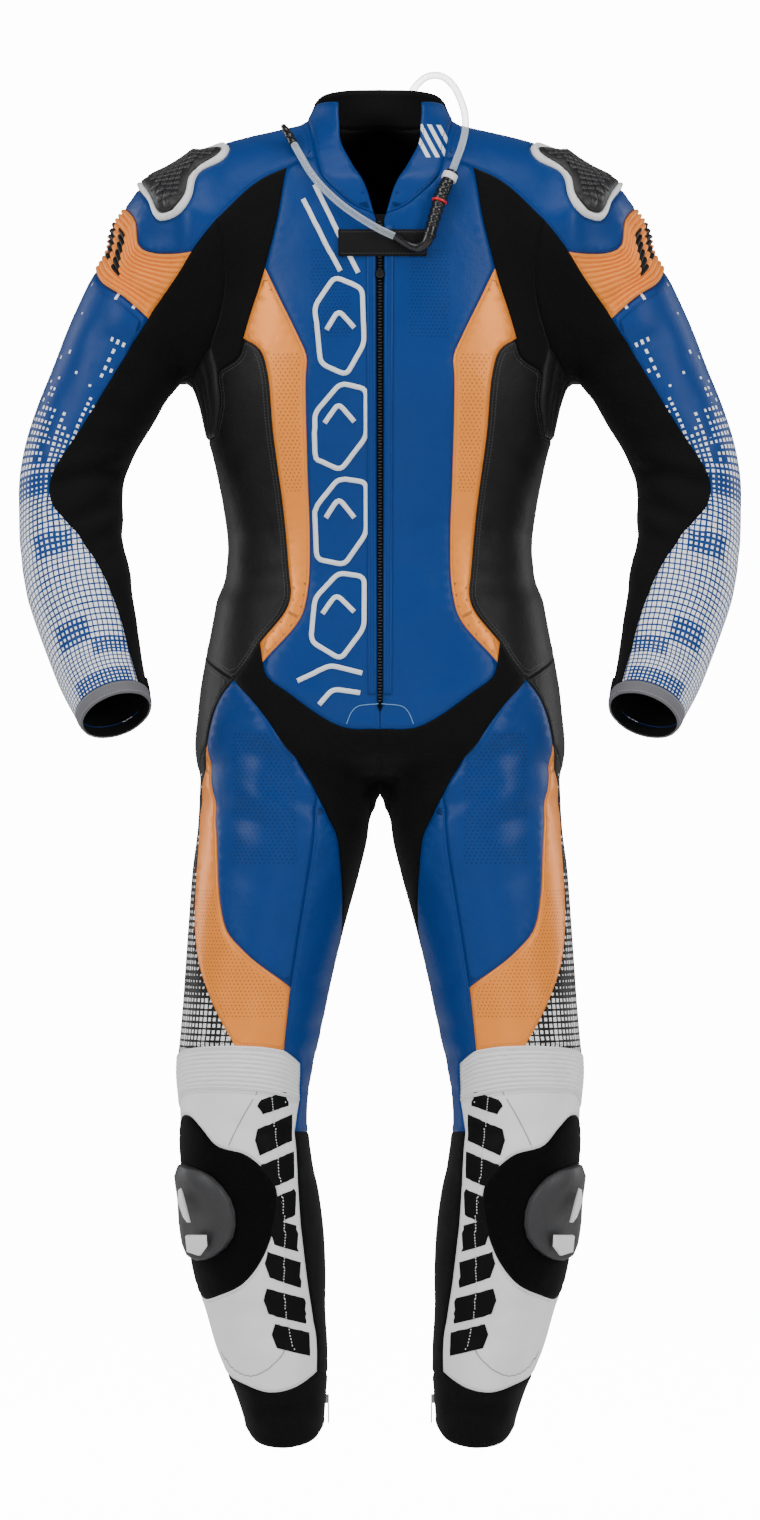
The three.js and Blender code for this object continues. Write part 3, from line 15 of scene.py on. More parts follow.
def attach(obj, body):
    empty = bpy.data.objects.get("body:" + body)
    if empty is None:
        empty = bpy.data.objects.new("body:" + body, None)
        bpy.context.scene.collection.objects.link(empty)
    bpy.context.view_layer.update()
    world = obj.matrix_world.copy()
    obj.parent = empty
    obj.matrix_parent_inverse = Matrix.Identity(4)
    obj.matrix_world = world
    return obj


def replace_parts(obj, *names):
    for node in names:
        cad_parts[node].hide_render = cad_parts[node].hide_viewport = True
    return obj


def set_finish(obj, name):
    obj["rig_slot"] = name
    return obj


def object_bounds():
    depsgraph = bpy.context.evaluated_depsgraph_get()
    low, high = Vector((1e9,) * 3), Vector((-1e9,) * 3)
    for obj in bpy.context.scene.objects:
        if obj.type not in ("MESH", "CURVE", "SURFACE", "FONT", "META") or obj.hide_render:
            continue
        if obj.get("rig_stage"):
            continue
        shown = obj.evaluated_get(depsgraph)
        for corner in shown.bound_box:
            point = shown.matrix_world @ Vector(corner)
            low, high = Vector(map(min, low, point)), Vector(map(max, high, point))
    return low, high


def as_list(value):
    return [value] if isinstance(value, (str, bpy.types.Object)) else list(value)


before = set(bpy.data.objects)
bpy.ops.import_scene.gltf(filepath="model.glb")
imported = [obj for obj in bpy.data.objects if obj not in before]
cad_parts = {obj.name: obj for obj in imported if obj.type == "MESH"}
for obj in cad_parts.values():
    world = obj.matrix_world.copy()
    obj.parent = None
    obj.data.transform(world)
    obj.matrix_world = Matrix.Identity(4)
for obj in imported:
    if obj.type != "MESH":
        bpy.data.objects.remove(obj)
cad_low, cad_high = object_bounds()

# %% [markdown]
# ## Camera
# The photograph was taken level from far away: one of its pixels is 1.03 mm at the suit.

# %% Camera
MM = 0.001
PIXEL = 1.03
PHOTO = (760, 1520)
CENTRE_X, ORIGIN_ROW = 380, 150
DISTANCE = 7.5
camera_data = bpy.data.cameras.new("view")
camera_data.sensor_fit = "VERTICAL"
camera_data.sensor_height = 36
camera_data.lens = 36 * DISTANCE / (PHOTO[1] * PIXEL * MM)
camera_data.clip_end = 60
camera = bpy.data.objects.new("view", camera_data)
camera.location = (0, -DISTANCE, (ORIGIN_ROW - PHOTO[1] / 2) * PIXEL * MM)
camera.rotation_euler = (math.pi / 2, 0, 0)
bpy.context.collection.objects.link(camera)
bpy.context.scene.camera = camera
print("lens", round(camera_data.lens, 1), "mm at", DISTANCE, "m")


# %% [markdown]
# ## Helpers for materials
# Leather, mesh and moulded plastic differ in colour, grain and sheen. Each material is a small tree of
# shader nodes, and short functions that add one node or combine two values keep those trees readable.

# %% Small helpers for materials
def colour(code):
    """Linear colour of an sRGB hex code."""
    values = [int(code[i:i + 2], 16) / 255 for i in (1, 3, 5)]
    return tuple(v / 12.92 if v <= 0.04045 else ((v + 0.055) / 1.055) ** 2.4 for v in values) + (1.0,)


def add_node(tree, kind, inputs=None, **settings):
    """A node with its settings, its constants and what is linked into it."""
    made = tree.nodes.new(kind)
    for key, value in settings.items():
        setattr(made, key, value)
    for key, value in (inputs or {}).items():
        if isinstance(value, bpy.types.NodeSocket):
            tree.links.new(value, made.inputs[key])
        else:
            made.inputs[key].default_value = value
    return made


def calc(tree, operation, *values, clamp=False):
    """One step of arithmetic in a material."""
    return add_node(tree, "ShaderNodeMath", dict(enumerate(values)), operation=operation,
                    use_clamp=clamp).outputs[0]


def mix(tree, share, a, b):
    """Colour a where share is 0 and b where it is 1."""
    made = add_node(tree, "ShaderNodeMix", {0: share, 6: a, 7: b}, data_type="RGBA")
    return made.outputs[2]

# %% [markdown]
# ## Studio
# The suit was photographed on plain white in soft light. It could be lit by a picture of a studio, but
# large lamps and a bright floor need no file and are easy to set against the photograph.

# %% Floor and studio light
FLOOR = -1.45


def stage_plane(name, size, place, turn, material=None):
    """A square of the studio."""
    bpy.ops.mesh.primitive_plane_add(size=size, location=place, rotation=turn)
    made = bpy.context.object
    made.name = name
    if material:
        made.data.materials.append(material)
    made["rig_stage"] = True
    return made


floor_paint = bpy.data.materials.new("studio_floor")
floor_paint.use_nodes = True
floor_paint.node_tree.nodes["Principled BSDF"].inputs["Base Color"].default_value = colour("#f6f6f6")
floor_paint.node_tree.nodes["Principled BSDF"].inputs["Roughness"].default_value = 0.9
floor_paint.node_tree.nodes["Principled BSDF"].inputs["Emission Color"].default_value = colour("#ffffff")
direct = add_node(floor_paint.node_tree, "ShaderNodeLightPath").outputs["Is Camera Ray"]
floor_paint.node_tree.links.new(calc(floor_paint.node_tree, "MULTIPLY", direct, 14.0),
                                floor_paint.node_tree.nodes["Principled BSDF"].inputs["Emission Strength"])
stage_plane("floor", 60, (0, 0, FLOOR), (0, 0, 0), floor_paint)

world = bpy.data.worlds.new("studio")
bpy.context.scene.world = world
world.use_nodes = True
sky = world.node_tree
for old in list(sky.nodes):
    sky.nodes.remove(old)
seen_directly = add_node(sky, "ShaderNodeLightPath").outputs["Is Camera Ray"]
strength = calc(sky, "ADD", calc(sky, "MULTIPLY", seen_directly, 14.0), 0.2)
background = add_node(sky, "ShaderNodeBackground", {"Color": colour("#ffffff"), "Strength": strength})
add_node(sky, "ShaderNodeOutputWorld", {"Surface": background.outputs[0]})

LIGHTS = {
    # name: place, target, width, height, watts
    "key_left": ((-3.2, -3.0, 1.2), (0, 0, -0.5), 1.6, 2.6, 106),
    "key_right": ((3.2, -3.0, 1.0), (0, 0, -0.5), 1.6, 2.6, 96),
    "top": ((0, -1.2, 2.6), (0, 0, -0.3), 2.4, 1.4, 52),
    "rim_left": ((-3.0, 1.6, 0.2), (0, 0, -0.7), 0.8, 2.6, 40),
    "rim_right": ((3.0, 1.6, 0.2), (0, 0, -0.7), 0.8, 2.6, 40),
    "front_low": ((0, -5.0, -0.6), (0, 0, -0.8), 2.0, 2.0, 22),
}
for name, (place, target, width, height, watts) in LIGHTS.items():
    lamp_data = bpy.data.lights.new(name, "AREA")
    lamp_data.shape = "RECTANGLE"
    lamp_data.size, lamp_data.size_y, lamp_data.energy = width, height, watts
    lamp = bpy.data.objects.new(name, lamp_data)
    lamp.location = place
    lamp.rotation_euler = (Vector(target) - Vector(place)).to_track_quat("-Z", "Y").to_euler()
    bpy.context.collection.objects.link(lamp)
    lamp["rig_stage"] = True
print("lights", len(LIGHTS))

# %% [markdown]
# ## The form of the suit
# The filled-out suit is one smooth surface, a union of sections like those of the CAD model. A point is
# outside it where `outside` is above zero. One half is worked out at +X; the other is its mirror image.

# %% Sections
TORSO = np.array([  # up, half width, front, back, power
    [-40, 120, 92, 88, 2.2], [-90, 150, 104, 98, 2.3], [-150, 176, 113, 105, 2.4],
    [-200, 184, 117, 107, 2.4], [-247, 186, 117, 106, 2.4], [-288, 179, 113, 102, 2.4],
    [-330, 169, 107, 97, 2.4], [-371, 161, 102, 93, 2.3], [-412, 157, 100, 93, 2.3],
    [-453, 161, 101, 97, 2.3], [-494, 170, 104, 106, 2.3], [-536, 176, 106, 115, 2.3],
    [-577, 180, 105, 120, 2.3], [-618, 182, 100, 120, 2.3], [-640, 168, 46, 56, 2.2],
    [-650, 150, 8, 10, 2.1]], float)
YOKE = np.array([  # out, up, half height, half depth
    [0, -78, 100, 100], [70, -77, 102, 98], [110, -78, 97, 92], [155, -80, 88, 84],
    [190, -84, 78, 76]], float)
ARM = np.array([  # out, y, up, half width, half depth
    [180, 0, -80, 76, 76], [216, 2, -130, 69, 67], [250, 4, -180, 64, 62], [282, 5, -247, 60, 58],
    [302, 3, -288, 56, 55], [316, 0, -330, 54, 53], [318, -10, -371, 53.5, 53],
    [315, -28, -412, 54.5, 53], [308, -50, -453, 54, 50], [297, -75, -494, 50, 46],
    [285, -103, -536, 45, 42], [275, -124, -562, 41, 39], [266, -140, -584, 37, 36]], float)
LEG = np.array([  # up, out, y, half width, half depth
    [-470, 96, 0, 60, 80], [-560, 97, 0, 78, 98], [-640, 98, 0, 86, 100], [-701, 100, -2, 88, 97],
    [-742, 107, -4, 86, 93], [-824, 121, -8, 78, 85], [-907, 133, -14, 72, 76],
    [-948, 139, -18, 69, 73], [-989, 140, -20, 65, 70], [-1030, 138, -18, 67, 70],
    [-1071, 132, -10, 69, 70], [-1112, 128, 0, 70, 70], [-1154, 124, 8, 68, 67],
    [-1195, 118, 14, 62, 62], [-1236, 111, 18, 57, 57], [-1277, 103, 20, 48, 51],
    [-1318, 98, 20, 40, 46], [-1345, 97, 20, 37, 44]], float)
NECK = np.array([  # up, y, half width, half depth
    [-90, -6, 74, 84], [-40, -6, 74, 78], [0, -2, 73, 72], [30, 2, 72, 68], [50, 6, 66, 62],
    [72, 10, 57, 55]], float)
HUMP = {"y": 86, "up": -118, "half_width": 80, "half_depth": 78, "half_height": 140}
FILLET = {"shoulder": 45, "leg": 34, "neck": 16, "hump": 26}
FOLDS = np.array([  # out1, up1, out2, up2, side, depth, width
    [60, -640, 150, -600, -1, 5, 12], [40, -690, 110, -655, -1, 4, 11],
    [110, -700, 175, -672, -1, 3, 11], [262, -330, 330, -345, -1, 5, 11],
    [258, -352, 325, -392, -1, 5, 10], [256, -395, 330, -415, -1, 4, 10],
    [225, -215, 285, -200, -1, 4, 11], [215, -175, 262, -140, -1, 4, 11],
    [100, -1015, 150, -1000, -1, 3, 9], [80, -1205, 150, -1190, -1, 3, 10],
    [75, -1290, 120, -1300, -1, 4, 9], [60, -700, 180, -690, 1, 8, 15],
    [80, -985, 190, -985, 1, 7, 12], [85, -1020, 185, -1015, 1, 7, 12],
    [90, -1060, 175, -1050, 1, 4, 12], [0, -430, 140, -400, 1, 5, 14],
    [0, -470, 140, -455, 1, 5, 14], [230, -260, 300, -240, 1, 4, 12]], float)


# %% [markdown]
# ## Finding the surface
# A filled-out suit can't be extruded from an outline. It could be sculpted by hand, but then the panels
# wouldn't match the solids. So a field tells if a point is outside, and points are moved onto its edge.

# %% The surface
def unit(v):
    return v / np.maximum(np.linalg.norm(v, axis=-1, keepdims=True), 1e-9)


def smooth_at(rows, key, at):
    """A column of a table, read by a smooth curve through its rows."""
    x, y = rows[:, 0], rows[:, key]
    if x[0] > x[-1]:
        x, at = -x, -at
    t = np.clip(at, x[0], x[-1])
    i = np.clip(np.searchsorted(x, t, side="right") - 1, 0, len(x) - 2)
    slope = np.zeros(len(x))
    slope[1:-1] = (y[2:] - y[:-2]) / (x[2:] - x[:-2])
    h = x[i + 1] - x[i]
    s = (t - x[i]) / h
    return ((2 * s**3 - 3 * s**2 + 1) * y[i] + (s**3 - 2 * s**2 + s) * h * slope[i]
            + (3 * s**2 - 2 * s**3) * y[i + 1] + (s**3 - s**2) * h * slope[i + 1])


def smooth_union(a, b, radius):
    h = np.maximum(radius - np.abs(a - b), 0) / radius
    return np.minimum(a, b) - h * h * radius / 4


def outside_ellipse(u, v, a, b, power=2.0):
    reach = np.hypot(u, v)
    ratio = (np.abs(u / a) ** power + np.abs(v / b) ** power) ** (1 / power)
    return np.where(ratio < 1e-9, -np.minimum(a, b), reach * (1 - 1 / np.maximum(ratio, 1e-9)))


def past_end(distance, past):
    return np.where(past > 0, np.hypot(np.maximum(distance, 0), past) + np.minimum(distance, 0), distance)


def curve_pieces(points, closed):
    """Hermite pieces of a centripetal curve: start, end and the tangents there."""
    points = np.asarray(points, float)
    if closed:
        ring = np.vstack([points[-1:], points, points[:2]])
    else:
        ring = np.vstack([2 * points[0] - points[1], points, 2 * points[-1] - points[-2]])
    p0, p1, p2, p3 = ring[:-3], ring[1:-2], ring[2:-1], ring[3:]
    root = [np.maximum(np.sqrt(np.linalg.norm(b - a, axis=1, keepdims=True)), 1e-4)
            for a, b in ((p0, p1), (p1, p2), (p2, p3))]
    d0, d1, d2 = root
    t1 = ((p1 - p0) / d0 - (p2 - p0) / (d0 + d1) + (p2 - p1) / d1) * d1
    t2 = ((p2 - p1) / d1 - (p3 - p1) / (d1 + d2) + (p3 - p2) / d2) * d1
    return p1, p2, t1, t2


def curve_points(points, closed, per_piece=24):
    """Points along the smooth curve through the given points."""
    p1, p2, t1, t2 = curve_pieces(points, closed)
    s = (np.arange(per_piece) / per_piece)[None, :, None]
    p1, p2, t1, t2 = (v[:, None, :] for v in (p1, p2, t1, t2))
    made = ((2 * s**3 - 3 * s**2 + 1) * p1 + (s**3 - 2 * s**2 + s) * t1
            + (3 * s**2 - 2 * s**3) * p2 + (s**3 - s**2) * t2).reshape(-1, np.asarray(points).shape[1])
    last = points[0] if closed else points[-1]
    return np.vstack([made, last])


def spaced(line, parts):
    """The line cut into equal parts."""
    length = np.concatenate([[0], np.cumsum(np.linalg.norm(np.diff(line, axis=0), axis=1))])
    want = np.linspace(0, length[-1], parts + 1)
    return np.stack([np.interp(want, length, line[:, k]) for k in range(line.shape[1])], axis=1)


def line_length(line):
    return np.linalg.norm(np.diff(line, axis=0), axis=1).sum()


AXIS_CUTS = 4


def sleeve_axis(rows):
    """Frames and half sizes along the sleeve."""
    centre = curve_points(rows[:, :3], False, AXIS_CUTS)
    p1, p2, t1, t2 = curve_pieces(rows[:, :3], False)
    s = (np.arange(AXIS_CUTS) / AXIS_CUTS)[None, :, None]
    p1, p2, t1, t2 = (v[:, None, :] for v in (p1, p2, t1, t2))
    along = ((6 * s**2 - 6 * s) * p1 + (3 * s**2 - 4 * s + 1) * t1
             + (6 * s - 6 * s**2) * p2 + (3 * s**2 - 2 * s) * t2).reshape(-1, 3)
    along = unit(np.vstack([along, t2[-1, 0]]))
    outward = unit(np.stack([-along[:, 2], 0 * along[:, 0], along[:, 0]], axis=1))
    back = np.cross(along, outward)
    back = back * np.where(back[:, 1:2] < 0, -1, 1)
    share = np.arange(len(centre)) / AXIS_CUTS
    sizes = np.stack([np.interp(share, np.arange(len(rows)), rows[:, k]) for k in (3, 4)], axis=1)
    return {"centre": centre, "along": along, "outward": outward, "back": back, "sizes": sizes}


SLEEVE = sleeve_axis(ARM)


def section_at(axis, at):
    """The sleeve's frame at a number of pieces from its start."""
    at = np.clip(at, 0, len(axis["centre"]) - 1.0001)
    i = at.astype(int)
    s = (at - i)[:, None]
    pick = {k: axis[k][i] * (1 - s) + axis[k][i + 1] * s for k in axis}
    for key in ("along", "outward", "back"):
        pick[key] = unit(pick[key])
    return pick


def nearest_on_axis(axis, p):
    """Where along the sleeve's axis each point is nearest, in pieces from its start."""
    c = axis["centre"]
    best = np.argmin(((p[:, None, :] - c[None]) ** 2).sum(2), axis=1)
    chosen = np.zeros(len(p))
    nearest = np.full(len(p), np.inf)
    for i in (best - 1, best):
        ok = (i >= 0) & (i < len(c) - 1)
        j = np.clip(i, 0, len(c) - 2)
        leg = c[j + 1] - c[j]
        share = np.clip(((p - c[j]) * leg).sum(1) / (leg**2).sum(1), 0, 1)
        d = ((c[j] + leg * share[:, None] - p) ** 2).sum(1)
        take = ok & (d < nearest)
        chosen = np.where(take, j + share, chosen)
        nearest = np.where(take, d, nearest)
    return chosen


def outside_sleeve(p):
    at = nearest_on_axis(SLEEVE, p)
    s = section_at(SLEEVE, at)
    d = p - s["centre"]
    dot = lambda k: (d * s[k]).sum(1)
    radial = outside_ellipse(dot("outward"), dot("back"), s["sizes"][:, 0], s["sizes"][:, 1])
    return past_end(radial, np.where(at <= 0, -dot("along"), 0))


FORK_DROP = 16  # how far the fork bulges below the last section of the body


def outside_torso(x, y, z):
    at = [smooth_at(TORSO, k, z) for k in (1, 2, 3, 4)]
    radial = outside_ellipse(x, y, at[0], np.where(y < 0, at[1], at[2]), at[3])
    below = TORSO[-1, 0] - z
    radial = np.where(below > 0, np.maximum(radial, -FORK_DROP), radial)
    return past_end(radial, np.maximum(z - TORSO[0, 0], below))


def outside_yoke(x, y, z):
    radial = outside_ellipse(z - smooth_at(YOKE, 1, x), y, smooth_at(YOKE, 2, x), smooth_at(YOKE, 3, x))
    return past_end(radial, x - YOKE[-1, 0])


def outside_leg(x, y, z):
    at = [smooth_at(LEG, k, z) for k in (1, 2, 3, 4)]
    return past_end(outside_ellipse(x - at[0], y - at[1], at[2], at[3]), z - LEG[0, 0])


def outside_neck(x, y, z):
    at = [smooth_at(NECK, k, z) for k in (1, 2, 3)]
    return past_end(outside_ellipse(x, y - at[0], at[1], at[2]), NECK[0, 0] - z)


def outside_hump(x, y, z):
    u, v = y - HUMP["y"], z - HUMP["up"]
    ratio = np.sqrt((x / HUMP["half_width"]) ** 2 + (u / HUMP["half_depth"]) ** 2
                    + (v / HUMP["half_height"]) ** 2)
    return np.sqrt(x**2 + u**2 + v**2) * (1 - 1 / np.maximum(ratio, 1e-6))


def troughs(table, x, y, z):
    """How deep the table's creases lie at each point."""
    total = np.zeros(len(x))
    for x1, z1, x2, z2, side, depth, width in table:
        dx, dz = x2 - x1, z2 - z1
        share = np.clip(((x - x1) * dx + (z - z1) * dz) / (dx * dx + dz * dz), 0, 1)
        away = np.hypot(x - x1 - share * dx, z - z1 - share * dz) / width
        near = (away < 3) & (y * side > 0)
        total += np.where(near, depth * np.exp(-away * away) * np.clip(y * side / 25, 0, 1), 0)
    return total


def outside(p):
    """Below zero inside the filled-out suit, above zero outside."""
    x, y, z = np.abs(p[:, 0]), p[:, 1], p[:, 2]
    d = np.full(len(p), 1e6)

    def unite(mask, field, radius):
        if mask.any():
            d[mask] = smooth_union(d[mask], field(mask), radius)

    unite((z < 60) & (z > -760), lambda m: smooth_union(
        outside_torso(x[m], y[m], z[m]), outside_yoke(x[m], y[m], z[m]), 30), 1)
    unite((x > 60) & (z > -700), lambda m: outside_sleeve(
        np.stack([x[m], y[m], z[m]], axis=1)), FILLET["shoulder"])
    unite(z < -400, lambda m: outside_leg(x[m], y[m], z[m]), FILLET["leg"])
    unite(z > -90, lambda m: outside_neck(x[m], y[m], z[m]), FILLET["neck"])
    unite((y > 0) & (z > -330), lambda m: outside_hump(x[m], y[m], z[m]), FILLET["hump"])
    return d + troughs(FOLDS, x, y, z)


def normal_at(p):
    slope = np.zeros_like(p)
    for axis in range(3):
        step = np.zeros(3)
        step[axis] = 1.5
        slope[:, axis] = outside(p + step) - outside(p - step)
    return unit(slope)


def snap(p):
    """The nearest points of the surface."""
    q = np.array(p, float)
    for _ in range(6):
        n = normal_at(q)
        here = outside(q)
        ahead = outside(q - n * here[:, None])
        change = here - ahead
        gain = np.where(np.abs(change) > 1e-6, here / np.where(np.abs(change) > 1e-6, change, 1), 1)
        q = q - n * (here * np.clip(gain, 0.3, 1.6))[:, None]
    return q


RAY_STEP, RAY_LENGTH = 5.0, 420.0


def shoot(origin, direction):
    """Where rays from inside leave the suit."""
    low = np.full(len(origin), RAY_LENGTH)
    active = np.arange(len(origin))
    t = RAY_STEP
    while t < RAY_LENGTH and len(active):
        out = outside(origin[active] + direction[active] * t) > 0
        low[active[out]] = t - RAY_STEP
        active = active[~out]
        t += RAY_STEP
    high = low + RAY_STEP
    for _ in range(11):
        middle = (low + high) / 2
        out = outside(origin + direction * middle[:, None]) > 0
        high, low = np.where(out, middle, high), np.where(out, low, middle)
    return origin + direction * ((low + high) / 2)[:, None]


def turned(degrees):
    a = np.radians(degrees)
    return np.stack([np.sin(a), -np.cos(a), 0 * a], axis=1)


def leg_centre(up):
    return np.stack([smooth_at(LEG, 1, up), smooth_at(LEG, 2, up), up], axis=1)


def seen(out, up, sign):
    """The surface as seen from the front (sign -1) or the back (sign +1)."""
    out, up = np.asarray(out, float), np.asarray(up, float)
    depth = np.full(len(out), 10.0)
    active = np.arange(len(out))
    for t in np.arange(0, 260, 4.0):
        if not len(active):
            break
        p = np.stack([out[active], np.full(len(active), sign * (260 - t)), up[active]], axis=1)
        hit = outside(p) < 0
        depth[active[hit]] = 260 - t
        active = active[~hit]
    p = np.stack([out, sign * depth, up], axis=1)
    return snap(p)


def sleeve_ray(degrees, share):
    s = section_at(SLEEVE, np.asarray(share) * (len(SLEEVE["centre"]) - 1))
    a = np.radians(degrees)[:, None]
    return shoot(s["centre"], s["outward"] * np.cos(a) + s["back"] * np.sin(a))


KINDS = {
    "front": lambda v: seen(v[:, 0], v[:, 1], -1),
    "back": lambda v: seen(v[:, 0], v[:, 1], 1),
    "torso": lambda v: shoot(np.stack([0 * v[:, 1], 0 * v[:, 1], v[:, 1]], axis=1), turned(v[:, 0])),
    "leg": lambda v: shoot(leg_centre(v[:, 1]), turned(v[:, 0])),
    "sleeve": lambda v: sleeve_ray(v[:, 0], v[:, 1]),
    "near": lambda v: snap(v[:, [0, 2, 1]]),
}


def place_all(specs):
    """The point of the surface for each (kind, values)."""
    made = [None] * len(specs)
    for kind, rule in KINDS.items():
        which = [i for i, s in enumerate(specs) if s[0] == kind]
        if which:
            for i, p in zip(which, rule(np.array([specs[i][1:] for i in which], float))):
                made[i] = p
    return made


ZIP_HALF, ZIP_TOP, ZIP_BOTTOM = 6, -74, -574
zip_edge = KINDS["front"](np.array([[ZIP_HALF, ZIP_TOP], [ZIP_HALF, -300], [ZIP_HALF, ZIP_BOTTOM]], float))
print("the front at the zip lies at y", zip_edge[:, 1].round(1), "mm")

# %% [markdown]
# ## Seams
# The seams are named lines on that surface, from one junction to another. Neighbours share their points,
# so the panels meet.

# %% Junctions, seams and closed lines
CUFF_SHARE = 0.955
JOINTS = {
  "zipTop": ["front", ZIP_HALF, ZIP_TOP],
  "zipBottom": ["front", ZIP_HALF, ZIP_BOTTOM],
  "neckFront": ["front", 66, -12],
  "neckSide": ["near", 71, 28, 0],
  "neckBack": ["near", 52, 27, 48],
  "collarOuter": ["near", 66, 46, -8],
  "collarInner": ["near", 45, 47, -44],
  "chestTop": ["front", 95, -24],
  "stripeTop": ["front", 116, -128],
  "stripeOuter": ["front", 138, -199],
  "stripeBottomIn": ["front", 119, -529],
  "stripeBottomOut": ["front", 122, -509],
  "bellyCentre": ["front", 0, -597],
  "hipFront": ["front", 148, -547],
  "ribsFront": ["front", 166, -232],
  "armholeFront": ["front", 173, -206],
  "ribsFoot": ["front", 168, -297],
  "sideTop": ["torso", 104, -297],
  "beltSide": ["torso", 97, -514],
  "beltBack": ["back", 0, -512],
  "capFront": ["front", 168, -80],
  "capBack": ["back", 168, -80],
  "armholeBack": ["back", 173, -206],
  "elbowTopFront": ["front", 192, -110],
  "elbowTopBack": ["back", 192, -110],
  "ribsEndFront": ["front", 237, -177],
  "ribsEndBack": ["back", 237, -177],
  "cuffFront": ["sleeve", -150, CUFF_SHARE],
  "cuffBack": ["sleeve", 125, CUFF_SHARE],
  "thighTop": ["front", 64, -665],
  "stripeTip": ["front", 177, -612],
  "thighFoot": ["front", 92, -860],
  "kneeMiddle": ["front", 99, -924],
  "kneeOut": ["front", 148, -919],
  "kneeIn": ["front", 82, -938],
  "kneeSideTop": ["leg", 104, -938],
  "kneeSideFoot": ["leg", 108, -992],
  "kneeInFoot": ["front", 83, -977],
  "blueFoot": ["front", 87, -1008],
  "blueFootBack": ["leg", -104, -1010],
  "groinFoot": ["leg", -92, -935],
  "seatInner": ["leg", -128, -705],
  "seatCentre": ["near", 0, -641, 58],
  "shinFoot": ["front", 65, -1257],
  "shinFootSide": ["leg", 115, -1250],
}
